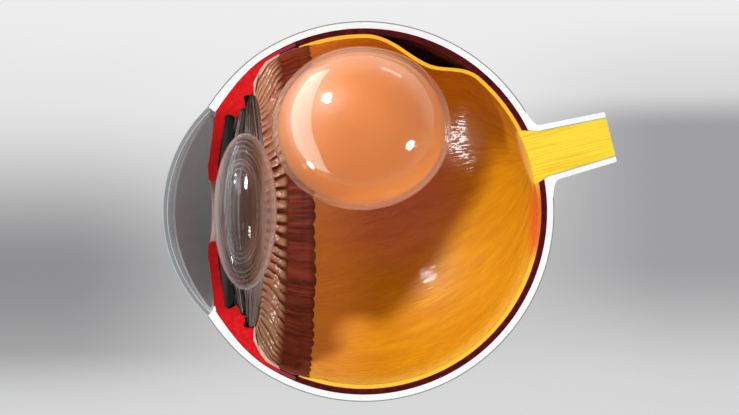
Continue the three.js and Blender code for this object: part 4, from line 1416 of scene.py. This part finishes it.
# %% Cornea finishes
cornea_clear = Finish("cornea_clear", tint(96, 100, 102), 0.06, Coat_Weight=0.3, Coat_Roughness=0.03)
bowl_edge = cornea_clear.edge(2.2)
cornea_clear.set("Base Color", cornea_clear.mix(bowl_edge, tint(10, 15, 19), tint(196, 202, 204)))
cornea_clear.set("Alpha", cornea_clear.share(bowl_edge, 0.0, 1.0, 0.58, 0.72))
cornea_cut = Finish("cornea_cut", tint(142, 147, 149), 0.25)
from_hub = cornea_cut.vector("SUBTRACT", cornea_cut.place, (CORNEA_HUB, 0.0, 0.0))
hub_distance = cornea_cut.vector("LENGTH", from_hub, output="Value")
from_middle = cornea_cut.sum("SUBTRACT", hub_distance, CORNEA_RADIUS - CORNEA_WALL / 2)
off_middle = cornea_cut.sum("ABSOLUTE", from_middle)
cut_tone = cornea_cut.blend(off_middle, 0.42, 0.72, tint(136, 141, 143), tint(205, 210, 212))
cornea_cut.set("Base Color", cut_tone)
cornea_cut.set("Alpha", cornea_cut.share(off_middle, 0.4, 0.72, 0.7, 0.95))

# %% Shape the cornea


def bowl_row(radius, first, last, count=60):
    turns = [math.radians(angle) for angle in spread(first, last, count)]
    return [(CORNEA_HUB - radius * math.cos(turn), radius * math.sin(turn)) for turn in turns]


def cornea_outline(azimuth):
    return bowl_row(CORNEA_RADIUS, 0, CORNEA_RIM) + bowl_row(CORNEA_RADIUS - CORNEA_WALL, CORNEA_RIM, 0)


cornea = swept("cornea_bowl", cornea_outline, HALF_TURN, [cornea_clear, cornea_cut])
belongs(cornea, "sclera", "clear_cornea", "cornea")

# %% [markdown]
# ## The gas bubble and its stem
#
# The bubble is a thick clear skin round an even orange gas. Two balls do it: a glassy skin that turns milky
# pink at its edge, and a ball of soft amber inside. The amber scatters light under its surface, and a painted
# glow in it stands for the light that passes through the bubble. Neither throws a shadow, because light
# passes through.

# %% Bubble finishes


def milky(name, colour, middle, rim, power, **shader):
    """A clear skin that turns milky at its edge."""
    finish = Finish(name, colour, 0.08, **shader)
    finish.set("Alpha", finish.sum("ADD", finish.product(finish.edge(power), rim - middle), middle))
    return finish


SKIN_GLOSS = {"Coat_Weight": 1.0, "Coat_Roughness": 0.015}
bubble_skin = milky("bubble_skin", tint(250, 214, 192), 0.03, 0.92, 4.0, **SKIN_GLOSS)
GAS_GLOSS = {"Coat_Weight": 1.0, "Coat_Roughness": 0.02, "Subsurface_Weight": 1.0, "Subsurface_Scale": 1.0}
gas = Finish("bubble_gas", tint(236, 140, 78), 0.5, **GAS_GLOSS)
gas.set("Subsurface Radius", (0.06, 0.035, 0.02))
gas_tone = gas.grain(gas.place, 0.05, 2)
gas.set("Base Color", gas.blend(gas_tone, 0.35, 0.65, tint(158, 88, 28), tint(168, 100, 36)))
# Painted glow: the gas glows a little for the light that passes through it; the base colour above is darker
# to leave room for it.
gas.set("Emission Color", tint(234, 138, 72))
gas.set("Emission Strength", 0.48)

# %% Shape the bubble
SOCKET_FOOT = 22.8
SOCKET_END = 40
STEM_RADIUS = 2.4


def bubble_ball(name, share, finish, socket_radius, node_name):
    width, height = BUBBLE_HALF_WIDTH * share, BUBBLE_HALF_HEIGHT * share
    piece = ball(name, width, width, height, BUBBLE_X, BUBBLE_Z, finish, 144, 96)
    socket_rows = [(SOCKET_FOOT, socket_radius), (SOCKET_END, socket_radius)]
    carve(piece, dowel("socket", socket_rows, finish, BUBBLE_X, BUBBLE_Z, 40))
    return belongs(piece, "bubble", "bubble_amber", node_name)


skin_ball = bubble_ball("bubble_clear_skin", 1, bubble_skin, 2.65, "bubble_near_half")
gas_ball = bubble_ball("bubble_gas_ball", GAS_SHARE, gas, 2.8, "bubble_far_half")

# %% Stem
clear_stem = milky("clear_stem", tint(214, 200, 190), 0.35, 0.9, 2.0)
stem_rows = [(23, STEM_RADIUS - 0.4), (23.4, STEM_RADIUS), (55, STEM_RADIUS)]
stem = dowel("bubble_rod", stem_rows, clear_stem, BUBBLE_X, BUBBLE_Z, 40)
carve(stem, globe_tool(LINING_INNER - 0.05, clear_stem), "INTERSECT")
belongs(stem, "liner", "clear_stem", "bubble_stem")

# %% [markdown]
# Clear pieces let light through, so none of them throws a shadow. The lens would hide part of the window
# and one lamp from the bubble, so it is left out of mirror images.

# %% Let light through the clear pieces
for clear_piece in (skin_ball, gas_ball, skin, shells, core, cornea, front_fibres, rear_fibres, stem):
    clear_piece.visible_shadow = False
for lens_piece in (skin, shells, core):
    lens_piece.visible_glossy = False
print("no shadow from the clear pieces, and no mirror image of the lens")
